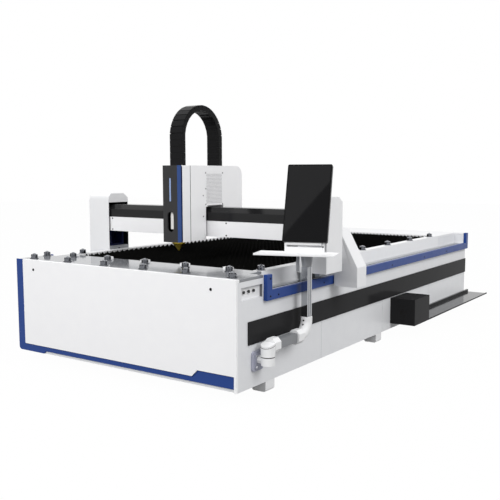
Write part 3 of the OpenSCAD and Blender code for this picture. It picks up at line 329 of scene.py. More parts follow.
# %% Dress the bed
bed_finishes = {
    "levelling_feet": (white_coat, 3), "front_cover": (lit_white_coat, 4),
    "front_trim": (blue_coat, 2), "rear_deck": (white_coat, 3),
    "left_rim": (white_coat, 2.5), "right_rim": (white_coat, 2.5), "slat_bearers": (slat_scale, 0),
    "transfer_balls": (polished_steel, 0),
    "left_side_trim": (blue_coat, 3), "right_side_trim": (blue_coat, 3),
    "left_side_band": (black_coat, 2), "right_side_band": (black_coat, 2),
    "left_guide_rail": (ground_steel, 0.8), "right_guide_rail": (ground_steel, 0.8),
    "left_rack": (ground_steel, 0.8), "right_rack": (ground_steel, 0.8),
    "button_plate": (casting_coat, 0.5), "pilot_lamp": (lamp_acrylic, 0.5),
    "button_start": (button_abs, 1.5), "button_pause": (button_abs, 1.5), "button_stop": (button_abs, 1.5)}
for node, (material, radius) in bed_finishes.items():
    dress(node, material, radius)

POCKET_MM, EDGE_MM = 25, 8
plate_low, plate_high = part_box("button_plate")
bed_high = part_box("bed_frame")[1]


def in_pocket_shade(face):
    """True for the top and the far wall of the pocket that the push buttons sit in; these walls get painted
    shade.
    """
    spot = face.calc_center_median()
    deep = 0.5 * mm < bed_high.x - spot.x < (POCKET_MM + 1) * mm
    along = plate_low.y - EDGE_MM * mm < spot.y < plate_high.y + EDGE_MM * mm
    level = plate_low.z - EDGE_MM * mm < spot.z < plate_high.z + EDGE_MM * mm
    return deep and along and level and min(face.normal.y, face.normal.z) < -0.5


# The bed frame takes the greyer white with painted shade, and the top and far wall of its pocket take the mid
# grey as painted shade.
dress("bed_frame", shaded_white_coat, 5, lining_and_pocket_shade_coat, in_pocket_shade)
# The cups' upright walls take the darker chrome as a painted dark reflection.
dress("ball_cups", pressed_steel, 1, dark_reflection_cup_steel, lambda face: abs(face.normal.z) < 0.5)
PAD_MM = 21
deck_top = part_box("rear_deck")[1].z
plate_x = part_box("right_side_band")[0].x + PAD_MM * mm
dress("front_deck", deck_coat, 3, white_coat, lambda face: face.calc_center_median().z > deck_top + 1 * mm)
dress("swivel_base", lilac_coat, 3, casting_coat, lambda face: face.calc_center_median().x > plate_x)
# The trough is gloss black. Only its side walls are drawn black, and its floor and ends are drawn dark grey
# as a painted reflection.
dress("chain_trough", trough_reflection_coat, 1.5, black_coat, lambda face: abs(face.normal.x) > 0.7)
dress("trough_box", black_coat, 2)
print("bed pieces:", len(bed_finishes) + 6)

# %% [markdown]
# ## The gantry and the head
# The gantry's end housings are folded boxes with generous radii, open towards the table, so the dark
# carriage shows inside. The beam carries a glossy black cover over a white front panel.

# %% Dress the gantry, the carriage and the cutting head
# The risers are drawn in the dark navy, which is blue with painted shade.
gantry_finishes = {
    "beam": (plate_aluminium, 2), "beam_cover": (beam_coat, 4), "beam_panel": (lit_white_coat, 2),
    "left_carriage_plate": (grey_coat, 2), "right_carriage_plate": (grey_coat, 2),
    "left_riser": (shaded_blue_coat, 2), "right_riser": (shaded_blue_coat, 2),
    "left_bearing_blocks": (ground_steel, 1.5), "right_bearing_blocks": (ground_steel, 1.5),
    "chain_arm": (white_coat, 5), "beam_rails": (ground_steel, 0.8)}
carriage_finishes = {
    "light_strip": (strip_acrylic, 0.8),
    "saddle_blocks": (ground_steel, 1.5), "lift_rails": (ground_steel, 0.8),
    "head_barrel": (barrel_coat, 2), "lift_plate": (plate_aluminium, 2), "nozzle_cone": (turned_brass, 1)}
for node, (material, radius) in {**gantry_finishes, **carriage_finishes}.items():
    dress(node, material, radius)
dress("head_front_cover", charcoal_coat, 1.5, merge=False)
# The back 12 mm of each head strip is drawn dark navy as a painted shadow in the gap beside the housing. The
# rest of the strip is drawn in the lighter blue as painted light.
SHADOW_GAP_MM = 12
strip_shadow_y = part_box("head_side_strips")[1].y - SHADOW_GAP_MM * mm
dress("head_side_strips", lit_strip_coat, 2, shaded_blue_coat, lambda face: face.calc_center_median().y > strip_shadow_y,
      split_y=strip_shadow_y)
print("gantry pieces:", len(gantry_finishes), "carriage pieces:", len(carriage_finishes) + 2)

# %% [markdown]
# ## White outside, dark inside
# The end housings and the head are painted white outside. Their inside is drawn near black, which is
# painted shade, and so is the shallow seam down each side of the head. Both are faces of one folded sheet,
# so the faces are sorted. In a housing, a face that looks back at the middle of the box is inside. In the
# head, the inside is whatever lies in the barrel's hollow.

# %% Dress the end housings and the head
# The inside faces of each housing get the near-black painted shade.
for node in ("left_end_housing", "right_end_housing"):
    box_low, box_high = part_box(node)
    middle = (box_low + box_high) / 2
    dress(node, white_coat, 2, inside_shade_coat,
          lambda face: (face.calc_center_median() - middle).dot(face.normal) < 0)

HOLLOW_MM, WALL_MM = 136, 5.5
SEAM_BACK_MM, SEAM_MM, SEAM_DEEP_MM = 97, 5, 4
head_low, head_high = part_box("head_housing")


def in_hollow_shade(face):
    """True for a face in the hollow that the barrel moves in; these faces get painted shade."""
    spot = face.calc_center_median()
    across = head_low.x + WALL_MM * mm < spot.x < head_high.x - WALL_MM * mm
    along = 1 * mm < spot.y - head_low.y < (HOLLOW_MM + 1) * mm
    return across and along and spot.z < head_high.z - WALL_MM * mm


def in_seam_shade(face):
    """True for a face in the shallow seam down each side of the head; these faces get painted shade."""
    spot = face.calc_center_median()
    deep = min(spot.x - head_low.x, head_high.x - spot.x)
    back = spot.y - head_low.y - SEAM_BACK_MM * mm
    return -1 * mm < back < (SEAM_MM + 1) * mm and 0.3 * mm < deep < (SEAM_DEEP_MM + 0.3) * mm


# The head's hollow and seams get the near-black painted shade.
dress("head_housing", lit_white_coat, 3, inside_shade_coat, lambda face: in_hollow_shade(face) or in_seam_shade(face))
# The two tones are white paint and near-black painted shade.
print("two-tone shells: left and right end housing, head housing")

# %% [markdown]
# ## Turned forms
# The window in the head's cover shows a white lens tube in front of the barrel. It moves with the barrel.
# The swivel of the console stand has two seams: a level one where it turns and a slanted one under
# its cap. A thin dark band in each is painted shade. All three are turned forms, so one helper spins a
# row of radii and heights round an upright axis. A slope tips the heights, which turns a level seam into
# a slanted one.

# %% Build the lens tube and the swivel's seams
TURN_SIDES = 48
TUBE_MM, TUBE_Y_MM, TUBE_LOW_MM, TUBE_HIGH_MM = 30, -1542, 1071, 1285
TUBE_CHAMFER_MM, TUBE_BORE_MM = 4, 8
SWIVEL_AXIS_MM = (1193, -1959)
SWIVEL_SEAM_SHADE_MM = (47.6, 287, 293)
CAP_SEAM_SHADE_MM = (49.5, 364, 367)
CAP_SLOPE = math.tan(math.radians(15))


def turned_form(name, axis, rings, slope, material, body):
    """A closed turned form: rings are radii and heights in mm, slope tips the heights along Y."""
    mesh = bmesh.new()
    loops = []
    for radius, z in rings:
        loop = []
        for k in range(TURN_SIDES):
            angle = 2 * math.pi * k / TURN_SIDES
            x, y = radius * math.cos(angle), radius * math.sin(angle)
            loop.append(mesh.verts.new(Vector((axis[0] + x, axis[1] + y, z + slope * y)) * mm))
        loops.append(loop)
    for one, two in zip(loops, loops[1:] + loops[:1]):
        for k in range(TURN_SIDES):
            n = (k + 1) % TURN_SIDES
            mesh.faces.new([one[k], one[n], two[n], two[k]])
    print(name, "faces:", len(mesh.faces))
    return finish_mesh(mesh, name, [material], body)


def band(radius, low, high, deep=2):
    """The four rings of a thin band."""
    return [(radius, low), (radius, high), (radius - deep, high), (radius - deep, low)]


tube_axis = ((head_low.x + head_high.x) / 2 / mm, TUBE_Y_MM)
tube_rings = [(TUBE_MM - TUBE_CHAMFER_MM, TUBE_LOW_MM), (TUBE_MM, TUBE_LOW_MM + TUBE_CHAMFER_MM),
              (TUBE_MM, TUBE_HIGH_MM - TUBE_CHAMFER_MM), (TUBE_MM - TUBE_CHAMFER_MM, TUBE_HIGH_MM),
              (TUBE_BORE_MM, TUBE_HIGH_MM), (TUBE_BORE_MM, TUBE_LOW_MM)]
turned_form("lens_tube", tube_axis, tube_rings, 0, barrel_coat, body_of_node["head_barrel"])
# The two thin bands are dark steel that stands for the shade in the swivel's seams.
turned_form("swivel_seam_shade", SWIVEL_AXIS_MM, band(*SWIVEL_SEAM_SHADE_MM), 0, black_oxide, "bed")
turned_form("cap_seam_shade", SWIVEL_AXIS_MM, band(*CAP_SEAM_SHADE_MM), CAP_SLOPE, black_oxide, "stand_arm")

# %% [markdown]
# ## The energy chain
# Over the head stands an arch of closed nylon links that guides the cables and the fibre. Each link is a
# box with a snap-on lid, and its neighbour starts a hair's breadth further on. The links follow two
# straight legs and a half circle, so a short function gives the place and the slope at any length along
# the chain, and a loop sets one rounded link after another. A plain core behind the gaps keeps them dark.

# %% Build the chain
LINK_MM, LINK_GAP_MM, LINK_ROUND_MM = 50, 0.8, 1.2
chain_low, chain_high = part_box("energy_chain")
chain_x = (chain_low.x + chain_high.x) / 2
chain_wide = chain_high.x - chain_low.x
CHAIN_THICK_MM = 45
arch_radius = (chain_high.y - chain_low.y) / 2 - CHAIN_THICK_MM * mm / 2
arch_y = (chain_low.y + chain_high.y) / 2
arch_z = chain_high.z - arch_radius - CHAIN_THICK_MM * mm / 2
leg = arch_z - chain_low.z
chain_length = 2 * leg + math.pi * arch_radius


def along_chain(length):
    """Place and slope of the chain's middle line at a length from its front foot."""
    if length < leg:
        return Vector((chain_x, arch_y - arch_radius, chain_low.z + length)), 0.0
    if length > chain_length - leg:
        return Vector((chain_x, arch_y + arch_radius, chain_low.z + chain_length - length)), math.pi
    turned = (length - leg) / arch_radius
    place = Vector((0, -math.cos(turned), math.sin(turned))) * arch_radius
    return Vector((chain_x, arch_y, arch_z)) + place, turned


RIB_SHARE, RIB_MM = 0.86, 7
chain = bmesh.new()
links = round(chain_length / (LINK_MM * mm))
for k in range(links):
    place, turned = along_chain((k + 0.5) * chain_length / links)
    size = Matrix.Diagonal((chain_wide, CHAIN_THICK_MM * mm, chain_length / links - LINK_GAP_MM * mm, 1))
    stand = Matrix.Translation(place) @ Matrix.Rotation(-turned, 4, "X") @ size
    bmesh.ops.create_cube(chain, size=1, matrix=stand)
    inward = Matrix.Translation((0, CHAIN_THICK_MM * mm / 2, 0))
    rib = Matrix.Diagonal((chain_wide * RIB_SHARE, RIB_MM * mm, RIB_MM * mm, 1))
    bmesh.ops.create_cube(chain, size=1, matrix=stand @ size.inverted() @ inward @ rib)
round_edges(chain, LINK_ROUND_MM, 2)
CORE_SHARE, CORE_STEPS = (0.9, 0.8), 72
core = (chain_wide * CORE_SHARE[0], CHAIN_THICK_MM * mm * CORE_SHARE[1])
rings = []
for k in range(CORE_STEPS + 1):
    place, turned = along_chain(chain_length * k / CORE_STEPS)
    tilt = Matrix.Rotation(-turned, 3, "X")
    corners = [(-1, -1), (1, -1), (1, 1), (-1, 1)]
    spots = [place + tilt @ Vector((a * core[0] / 2, b * core[1] / 2, 0)) for a, b in corners]
    rings.append([chain.verts.new(spot) for spot in spots])
for one, two in zip(rings, rings[1:]):
    for a in range(4):
        b = (a + 1) % 4
        chain.faces.new([one[a], one[b], two[b], two[a]])
chain.faces.new(rings[0][::-1])
chain.faces.new(rings[-1])
chain_piece = finish_mesh(chain, "nylon_chain_links", [chain_nylon], "carriage")
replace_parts(chain_piece, "energy_chain")
print("chain links:", links)

# %% [markdown]
# ## The perforated vents
# A punched sheet lets the head's drive breathe. Each hole is an octagon in a square cell, and every
# other row is shifted by half a cell, as on a stamping tool. The cells make one sheet with real
# thickness, so the holes show from any side. A grey sheet lies behind them.

# %% Build the vents
CELL_MM, HOLE_SHARE, SHEET_MM, FRAME_MM, LINING_MM = 11, 0.64, 1.6, 12, 1.2
vent_low, vent_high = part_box("vent_panels")


def punched_cell(mesh, corner, size, front, back):
    """One cell of a punched sheet: a frame on both faces and the wall of the hole."""
    centre = corner + Vector((0, size.y / 2, size.z / 2))
    square = [(-1, -1), (0, -1), (1, -1), (1, 0), (1, 1), (0, 1), (-1, 1), (-1, 0)]
    layers = []
    for x in (front, back):
        outer = [mesh.verts.new((x, centre.y + a * size.y / 2, centre.z + b * size.z / 2)) for a, b in square]
        inner = []
        for a, b in square:
            reach = HOLE_SHARE / math.hypot(a, b) / 2
            inner.append(mesh.verts.new((x, centre.y + a * size.y * reach, centre.z + b * size.z * reach)))
        layers.append((outer, inner))
    for k in range(8):
        n = (k + 1) % 8
        (fo, fi), (bo, bi) = layers
        mesh.faces.new([fo[k], fo[n], fi[n], fi[k]])
        mesh.faces.new([bo[n], bo[k], bi[k], bi[n]])
        mesh.faces.new([fi[k], fi[n], bi[n], bi[k]])


def plain_bar(mesh, low, high):
    """A plain box between two corners, part of a larger sheet."""
    size = Matrix.Diagonal((*(high - low), 1))
    bmesh.ops.create_cube(mesh, size=1, matrix=Matrix.Translation((low + high) / 2) @ size)


vents = bmesh.new()
lining = bmesh.new()
for side in (-1, 1):
    face_x = vent_high.x if side > 0 else vent_low.x
    back_x = face_x - side * SHEET_MM * mm
    inner_low = Vector((0, vent_low.y + FRAME_MM * mm, vent_low.z + FRAME_MM * mm))
    inner_high = Vector((0, vent_high.y - FRAME_MM * mm, vent_high.z - FRAME_MM * mm))
    columns = round((inner_high.y - inner_low.y) / (CELL_MM * mm))
    rows = round((inner_high.z - inner_low.z) / (CELL_MM * mm))
    cell = Vector((0, (inner_high.y - inner_low.y) / columns, (inner_high.z - inner_low.z) / rows))
    thin = sorted((face_x, back_x))
    for r in range(rows):
        row_low = inner_low + Vector((0, cell.y / 2 * (r % 2), cell.z * r))
        for c in range(columns - r % 2):
            punched_cell(vents, row_low + Vector((0, cell.y * c, 0)), cell, face_x, back_x)
        if r % 2:
            for y in (inner_low.y, inner_high.y - cell.y / 2):
                plain_bar(vents, Vector((thin[0], y, row_low.z)),
                          Vector((thin[1], y + cell.y / 2, row_low.z + cell.z)))
    for y0, y1, z0, z1 in ((vent_low.y, vent_high.y, vent_low.z, inner_low.z),
                           (vent_low.y, vent_high.y, inner_high.z, vent_high.z),
                           (vent_low.y, inner_low.y, inner_low.z, inner_high.z),
                           (inner_high.y, vent_high.y, inner_low.z, inner_high.z)):
        plain_bar(vents, Vector((thin[0], y0, z0)), Vector((thin[1], y1, z1)))
    deep = sorted((back_x, back_x - side * LINING_MM * mm))
    plain_bar(lining, Vector((deep[0], vent_low.y, vent_low.z)), Vector((deep[1], vent_high.y, vent_high.z)))
bmesh.ops.remove_doubles(vents, verts=vents.verts, dist=WELD)
vent_piece = finish_mesh(vents, "punched_vent_sheets", [lit_white_coat], "carriage")
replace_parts(vent_piece, "vent_panels")
finish_mesh(lining, "vent_lining", [lining_and_pocket_shade_coat], "carriage")
print("vent faces:", len(vent_piece.data.polygons))

# %% [markdown]
# ## The console stand
# Cast knuckles, an extruded arm and a drawn tube carry a folded tray and the screen. The tray's underside
# and the screen's hinge lugs have finishes of their own. The screen's corners get a wider round, as a
# moulded case has, before its edges are rounded.

# %% Dress the stand and the console
console_finishes = {
    "swivel_head": (casting_coat, 3), "swing_arm": (arm_coat, 3), "stand_elbow": (casting_coat, 4),
    "stand_post": (drawn_aluminium, 1), "screen_bracket": (casting_coat, 2)}
for node, (material, radius) in console_finishes.items():
    dress(node, material, radius)
TRAY_EDGE_MM, HINGE_MM, LUG_MM = 15, 58, 5
tray_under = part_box("screen_bracket")[0].z - TRAY_EDGE_MM * mm
hinge_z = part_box("screen_bracket")[0].z + HINGE_MM * mm
dress("console_tray", casting_coat, 2, grey_coat, lambda face: face.calc_center_median().z < tray_under)
dress("screen_housing", screen_abs, 4, casting_coat,
      lambda face: face.calc_center_median().z < hinge_z + LUG_MM * mm, corner=(11, 34))
dress("screen_glass", screen_glass, 1, corner=(8, 3))
print("console pieces:", len(console_finishes) + 3)

# %% [markdown]
# ## The post's profile
# Round the post's steel core sits an extruded aluminium profile, polished enough to mirror the bed beside
# it. Its section is a rectangle with two grooves in each wide side. An extrusion is an outline pulled
# along a line, so the outline is written once, and the same corners are used at both ends.

# %% Build the profile
PROFILE_MM, GROOVE_MM, GROOVE_DEEP_MM = (50, 64), 7, 4
TRAY_MM, HUB_MM, RUNNING_GAP_MM = 14, 92, 1
post_low, post_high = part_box("stand_post")
post_axis = (post_low + post_high) / 2
profile_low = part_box("stand_elbow")[1].z
profile_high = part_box("screen_bracket")[0].z - (TRAY_MM + HUB_MM + RUNNING_GAP_MM) * mm


def wide_side(side):
    """Corners along one wide side, front to back, with two grooves."""
    x, deep = side * PROFILE_MM[0] / 2, side * (PROFILE_MM[0] / 2 - GROOVE_DEEP_MM)
    spots = [(x, -PROFILE_MM[1] / 2)]
    for middle in (-PROFILE_MM[1] / 6, PROFILE_MM[1] / 6):
        front, back = middle - GROOVE_MM / 2, middle + GROOVE_MM / 2
        spots += [(x, front), (deep, front), (deep, back), (x, back)]
    return spots + [(x, PROFILE_MM[1] / 2)]


section = wide_side(1) + wide_side(-1)[::-1]
profile = bmesh.new()
ends = [[profile.verts.new((post_axis.x + x * mm, post_axis.y + y * mm, z)) for x, y in section]
        for z in (profile_low, profile_high)]
profile.faces.new(ends[0][::-1])
profile.faces.new(ends[1])
for k in range(len(section)):
    n = (k + 1) % len(section)
    profile.faces.new([ends[0][k], ends[0][n], ends[1][n], ends[1][k]])
round_edges(profile, 1.5, 2)
finish_mesh(profile, "post_profile", [profile_aluminium], "stand_arm")
print("profile length in mm:", round((profile_high - profile_low) / mm))

# %% [markdown]
# ## The slats
# The table is a bed of thin steel slats on edge, cut to a sawtooth so that the sheet rests on points.
# Cutting sparks leave them black. The construction model has coarser teeth to stay light, so the same
# form is drawn here at the spacing of the real ones.

# %% Build the slats
SLAT_PITCH_MM, TOOTH_PITCH_MM, TOOTH_DEPTH_MM, SLAT_THICK_MM = 62, 41, 24, 4
slat_low, slat_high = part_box("support_slats")


def slat_rows(low, high, pitch):
    """Evenly spaced places between two ends, at about the pitch."""
    count = max(1, round((high - low) / (pitch * mm)))
    return [low + (high - low) * k / count for k in range(count + 1)]


def sawtooth_slat(mesh, y):
    """One slat: a comb outline in X and Z with a thickness in Y."""
    edges = slat_rows(slat_low.x, slat_high.x, TOOTH_PITCH_MM)
    outline = [(slat_low.x, slat_low.z)]
    for left, right in zip(edges, edges[1:]):
        outline += [(left, slat_high.z - TOOTH_DEPTH_MM * mm), ((left + right) / 2, slat_high.z)]
    outline += [(slat_high.x, slat_high.z - TOOTH_DEPTH_MM * mm), (slat_high.x, slat_low.z)]
    half = SLAT_THICK_MM * mm / 2
    sides = [[mesh.verts.new((x, y + side * half, z)) for x, z in outline] for side in (-1, 1)]
    mesh.faces.new(sides[0])
    mesh.faces.new(sides[1][::-1])
    for k in range(len(outline)):
        n = (k + 1) % len(outline)
        mesh.faces.new([sides[0][n], sides[0][k], sides[1][k], sides[1][n]])


slats = bmesh.new()
for y in slat_rows(slat_low.y + SLAT_THICK_MM * mm / 2, slat_high.y - SLAT_THICK_MM * mm / 2, SLAT_PITCH_MM):
    sawtooth_slat(slats, y)
slat_piece = finish_mesh(slats, "sawtooth_slats", [slat_scale], "bed")
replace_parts(slat_piece, "support_slats")
print("slat faces:", len(slat_piece.data.polygons))

# %% [markdown]
# ## Screws
# Cap screws hold the covers, the trims and the knuckles. A head is a short turned form with a rounded
# rim and a socket, so one ring of corners per radius and height gives it. Heads that sit on one body go
# into one mesh.

# %% A helper for screw heads, and the screws on the bed
SCREW_SIDES = 16
SCREW_RINGS = [(1.0, -0.2), (1.0, 0.6), (0.85, 1.0), (0.45, 1.0), (0.4, 0.3)]


def screw_heads(name, groups, material, body):
    """Screw heads: each group has its places, the way it faces, and its radius and height in mm."""
    heads = bmesh.new()
    for places, facing, radius, height in groups:
        turned = Vector((0, 0, 1)).rotation_difference(Vector(facing)).to_matrix().to_4x4()
        size = Matrix.Diagonal((radius * mm, radius * mm, height * mm, 1))
        angles = [2 * math.pi * k / SCREW_SIDES for k in range(SCREW_SIDES)]
        for place in places:
            stand = Matrix.Translation(place) @ turned @ size
            loops = [[heads.verts.new(stand @ Vector((reach * math.cos(t), reach * math.sin(t), rise)))
                      for t in angles] for reach, rise in SCREW_RINGS]
            for one, two in zip(loops, loops[1:]):
                for k in range(SCREW_SIDES):
                    n = (k + 1) % SCREW_SIDES
                    heads.faces.new([one[k], one[n], two[n], two[k]])
            heads.faces.new(loops[0][::-1])
            heads.faces.new(loops[-1])
    print(name, "faces:", len(heads.faces))
    return finish_mesh(heads, name, [material], body)


COVER_SCREW_MM = (894, 76)
TRIM_SCREW_MM = 28
TRIM_ROWS_MM = [(41, 122), (41, 0), (143, 0), (795, 0), (1437, 0), (2078, 0), (2864, 0), (3507, 0)]
cover_low, cover_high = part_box("front_cover")
cover_screws = [(side * COVER_SCREW_MM[0] * mm, cover_low.y, cover_high.z - COVER_SCREW_MM[1] * mm)
                for side in (-1, 1)]
trim_screws = []
for side in (-1, 1):
    trim_low, trim_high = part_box("right_side_trim" if side > 0 else "left_side_trim")
    x = trim_high.x if side > 0 else trim_low.x
    rail_z = trim_low.z + TRIM_SCREW_MM * mm
    trim_screws.append([(x, trim_low.y + y * mm, rail_z + z * mm) for y, z in TRIM_ROWS_MM])
screw_heads("bed_screws", [(cover_screws, (0, -1, 0), 10, 4), (trim_screws[0], (-1, 0, 0), 7, 3),
                           (trim_screws[1], (1, 0, 0), 7, 3)], black_oxide, "bed")

# %% [markdown]
# The gantry's screws hold the beam's panel along its upper and lower edge. One more sits on each
# carriage plate.

# %% Screws on the gantry
PANEL_COLUMNS_MM, PANEL_EDGE_MM, PLATE_EDGE_MM = (-967, 314, 967), 14, 28
panel_low, panel_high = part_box("beam_panel")
panel_screws = [(x * mm, panel_low.y, z) for x in PANEL_COLUMNS_MM
                for z in (panel_low.z + PANEL_EDGE_MM * mm, panel_high.z - PANEL_EDGE_MM * mm)]
plate_low, plate_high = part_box("left_carriage_plate")
plate_z = plate_high.z - PLATE_EDGE_MM * mm
plate_y = (plate_low.y + plate_high.y) / 2
plate_screws = [[(side * plate_high.x, plate_y, plate_z)] for side in (1, -1)]
screw_heads("gantry_screws", [(panel_screws, (0, -1, 0), 6.5, 3), (plate_screws[0], (1, 0, 0), 9, 4),
                              (plate_screws[1], (-1, 0, 0), 9, 4)], black_oxide, "gantry")

# %% [markdown]
# On the stand, two screws clamp the elbow, two hold the swivel's pad to the bed and one sits on the
# bracket's right cheek. The lower elbow screw is in the bend, so it leans back with the casting's skin.

# %% Screws on the stand
ELBOW_SCREWS_MM = [((-42, -25), (0, -1, 0)), ((-51, -54), (0, -0.845, 0.534))]
PAD_SCREWS_MM, PAD_SEAT_MM = [(-31, 31), (-31, 106)], 1
CONSOLE_TURN, CHEEK_MM = 17.3, Vector((118, -4, -20))
elbow_low, elbow_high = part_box("stand_elbow")
elbow_screws = [([(post_axis.x, post_axis.y + y * mm, elbow_high.z + z * mm)], facing, 6.5, 3)
                for (y, z), facing in ELBOW_SCREWS_MM]
screw_heads("elbow_screws", elbow_screws, black_oxide, "stand_arm")
base_low, base_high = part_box("swivel_base")
base_y = (base_low.y + base_high.y) / 2
pad_screws = [(plate_x - PAD_SEAT_MM * mm, base_y + y * mm, base_low.z + z * mm) for y, z in PAD_SCREWS_MM]
screw_heads("pad_screws", [(pad_screws, (1, 0, 0), 9, 6)], pressed_steel, "bed")
turned = Matrix.Rotation(math.radians(CONSOLE_TURN), 3, "Z")
cheek = Vector((post_axis.x, post_axis.y, hinge_z)) + turned @ (CHEEK_MM * mm)
screw_heads("bracket_screw", [([cheek], turned @ Vector((0, -1, 0)), 6, 2.5)], black_oxide,
            body_of_node["screen_bracket"])

# %% [markdown]
# The last screws sit in the frames of the vents, and two more beside each vent hold the head's side.

# %% Screws on the head
VENT_EDGE_MM, SIDE_SCREWS_MM = FRAME_MM / 2, [(-28, 80), (-28, -90)]
vent_y = (vent_low.y + VENT_EDGE_MM * mm, vent_high.y - VENT_EDGE_MM * mm)
vent_z = (vent_low.z + VENT_EDGE_MM * mm, vent_high.z - VENT_EDGE_MM * mm)
corners = [(y, z) for y in vent_y for z in vent_z] + [(vent_y[0], sum(vent_z) / 2)]
corners += [(vent_low.y + y * mm, vent_low.z + z * mm) for y, z in SIDE_SCREWS_MM]
screw_heads("vent_screws", [([(vent_high.x, y, z) for y, z in corners], (1, 0, 0), 5.5, 1.5),
                            ([(vent_low.x, y, z) for y, z in corners], (-1, 0, 0), 5.5, 1.5)],
            black_oxide, "carriage")

# %% [markdown]
# ## Studio
# The picture has a white background and soft, even light. The floor is pale and catches a faint shadow.
# To the camera and to mirrors the surroundings are plain white, by the light path, so no extra light
# falls on the machine to make them so. A small share of the floor's true shade keeps the shadow.

# %% Floor and surroundings
FLOOR_SIZE = 60
floor_mesh = bpy.data.meshes.new("studio_floor")
half = FLOOR_SIZE / 2
floor_corners = [(-half, -half, 0), (half, -half, 0), (half, half, 0), (-half, half, 0)]
floor_mesh.from_pydata(floor_corners, [], [(0, 1, 2, 3)])
floor = bpy.data.objects.new("studio_floor", floor_mesh)
bpy.context.scene.collection.objects.link(floor)

SHADOW_SHARE = 0.1
floor_paint, tree, output = new_material("studio_floor_paint")
path = add(tree, "ShaderNodeLightPath", {})
seen = add(tree, "ShaderNodeMath", {0: path.outputs["Is Camera Ray"], 1: path.outputs["Is Glossy Ray"]},
           operation="MAXIMUM")
seen = add(tree, "ShaderNodeMath", {0: seen.outputs[0], 1: path.outputs["Is Transmission Ray"]},
           operation="MAXIMUM")
matt = add(tree, "ShaderNodeBsdfDiffuse", {"Color": linear("#6A6A6A")})
glow = add(tree, "ShaderNodeEmission", {"Color": linear("#FFFFFF"), "Strength": 1.09})
pale = add(tree, "ShaderNodeMixShader", {0: SHADOW_SHARE, 1: glow.outputs[0], 2: matt.outputs[0]})
mixed = add(tree, "ShaderNodeMixShader", {0: seen.outputs[0], 1: matt.outputs[0], 2: pale.outputs[0]})
tree.links.new(mixed.outputs[0], output.inputs["Surface"])
floor_mesh.materials.append(floor_paint)

WORLD_STRENGTH = 0.7
world = bpy.data.worlds.new("white_studio")
bpy.context.scene.world = world
world.use_nodes = True
tree = world.node_tree
tree.nodes.clear()
path = add(tree, "ShaderNodeLightPath", {})
seen = add(tree, "ShaderNodeMath", {0: path.outputs["Is Camera Ray"], 1: path.outputs["Is Glossy Ray"]},
           operation="MAXIMUM")
seen = add(tree, "ShaderNodeMath", {0: seen.outputs[0], 1: path.outputs["Is Transmission Ray"]},
           operation="MAXIMUM")
light = add(tree, "ShaderNodeBackground", {"Color": linear("#FFFFFF"), "Strength": WORLD_STRENGTH})
backdrop = add(tree, "ShaderNodeBackground", {"Color": linear("#FFFFFF"), "Strength": 1.0})
mixed = add(tree, "ShaderNodeMixShader", {0: seen.outputs[0], 1: light.outputs[0], 2: backdrop.outputs[0]})
world_output = add(tree, "ShaderNodeOutputWorld", {"Surface": mixed.outputs[0]})
print("floor and surroundings ready")

# %% [markdown]
# ## Cards
# In an all-white studio polished steel looks like chalk, and dark glass looks flat. Photographers stand
# black cards beside the set, out of view, so that mirrors have something dark to show. Here only
# mirror-like rays see the cards. The slanted one lies where the screen reflects it as a diagonal.

# %% Black cards that only reflections see
card_paint, tree, output = new_material("black_card")
matt = add(tree, "ShaderNodeBsdfDiffuse", {"Color": linear("#030303")})
tree.links.new(matt.outputs[0], output.inputs["Surface"])


def black_card(name, corners):
    """A flat card that casts no shadow and is seen only in reflections."""
    mesh = bpy.data.meshes.new(name)
    mesh.from_pydata(corners, [], [list(range(len(corners)))])
    mesh.materials.append(card_paint)
    card = bpy.data.objects.new(name, mesh)
    bpy.context.scene.collection.objects.link(card)
    card.visible_camera = card.visible_diffuse = card.visible_transmission = card.visible_shadow = False
    print(name, "corners:", len(corners))


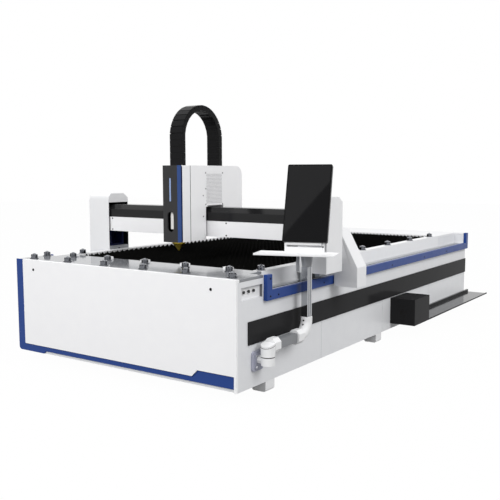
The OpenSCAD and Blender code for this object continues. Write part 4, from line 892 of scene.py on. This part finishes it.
black_card("screen_card", [(0.1, -9, 3.46), (2.72, -9, 8.5), (6.27, -9, 6.65), (3.65, -9, 1.61)])
black_card("left_card", [(-12, -12, 0.2), (-12, 0, 0.2), (-12, 0, 7), (-12, -12, 7)])
black_card("right_card", [(12, 1, 0.2), (12, 13, 0.2), (12, 13, 7), (12, 1, 7)])

# %% [markdown]
# ## Lamps
# A broad key lamp stands in front on the left, one stands high and further off on the right, and a weak
# one hangs overhead, as softboxes would in a studio. Broad lamps keep the shadows soft.

# %% Softboxes


def softbox(name, place, target, size, watts):
    """A square area lamp aimed at a point, kept out of mirrors."""
    lamp = bpy.data.lights.new(name, "AREA")
    lamp.size = size
    lamp.energy = watts
    holder = bpy.data.objects.new(name, lamp)
    holder.location = place
    holder.rotation_mode = "QUATERNION"
    holder.rotation_quaternion = (Vector(target) - Vector(place)).to_track_quat("-Z", "Y")
    holder.visible_glossy = False
    bpy.context.scene.collection.objects.link(holder)


softbox("key_softbox", (-1.0, -10.0, 6.0), (0, -1.0, 0.8), 6, 560)
softbox("side_softbox", (12.0, -2.0, 9.0), (0, 0, 1.0), 7, 860)
softbox("top_softbox", (0, 0.5, 7.5), (0, 0, 0.8), 6, 30)

# %% [markdown]
# ## Camera
# The viewpoint was worked out from the bed's long edges and their vanishing points: a standing person's
# eye height, in front of the right corner, with a short telephoto lens on a square frame.

# %% Camera
EYE = (3.7995, -5.9402, 1.5085)
YAW, PITCH, ROLL = 34.638, 6.0016, -0.1497
LENS_PX, FRAME_PX, SENSOR_MM = 726.02, 500, 36
eye = bpy.data.cameras.new("viewpoint")
eye.sensor_width = SENSOR_MM
eye.lens = SENSOR_MM * LENS_PX / FRAME_PX
camera = bpy.data.objects.new("viewpoint", eye)
turn = Matrix.Rotation(math.radians(YAW), 4, "Z")
tip = Matrix.Rotation(math.radians(90 - PITCH), 4, "X")
level = Matrix.Rotation(math.radians(ROLL), 4, "Z")
camera.matrix_world = Matrix.Translation(EYE) @ turn @ tip @ level
bpy.context.scene.collection.objects.link(camera)
bpy.context.scene.camera = camera
bpy.context.scene.view_settings.view_transform = "Standard"
print("lens in mm:", round(eye.lens, 2))
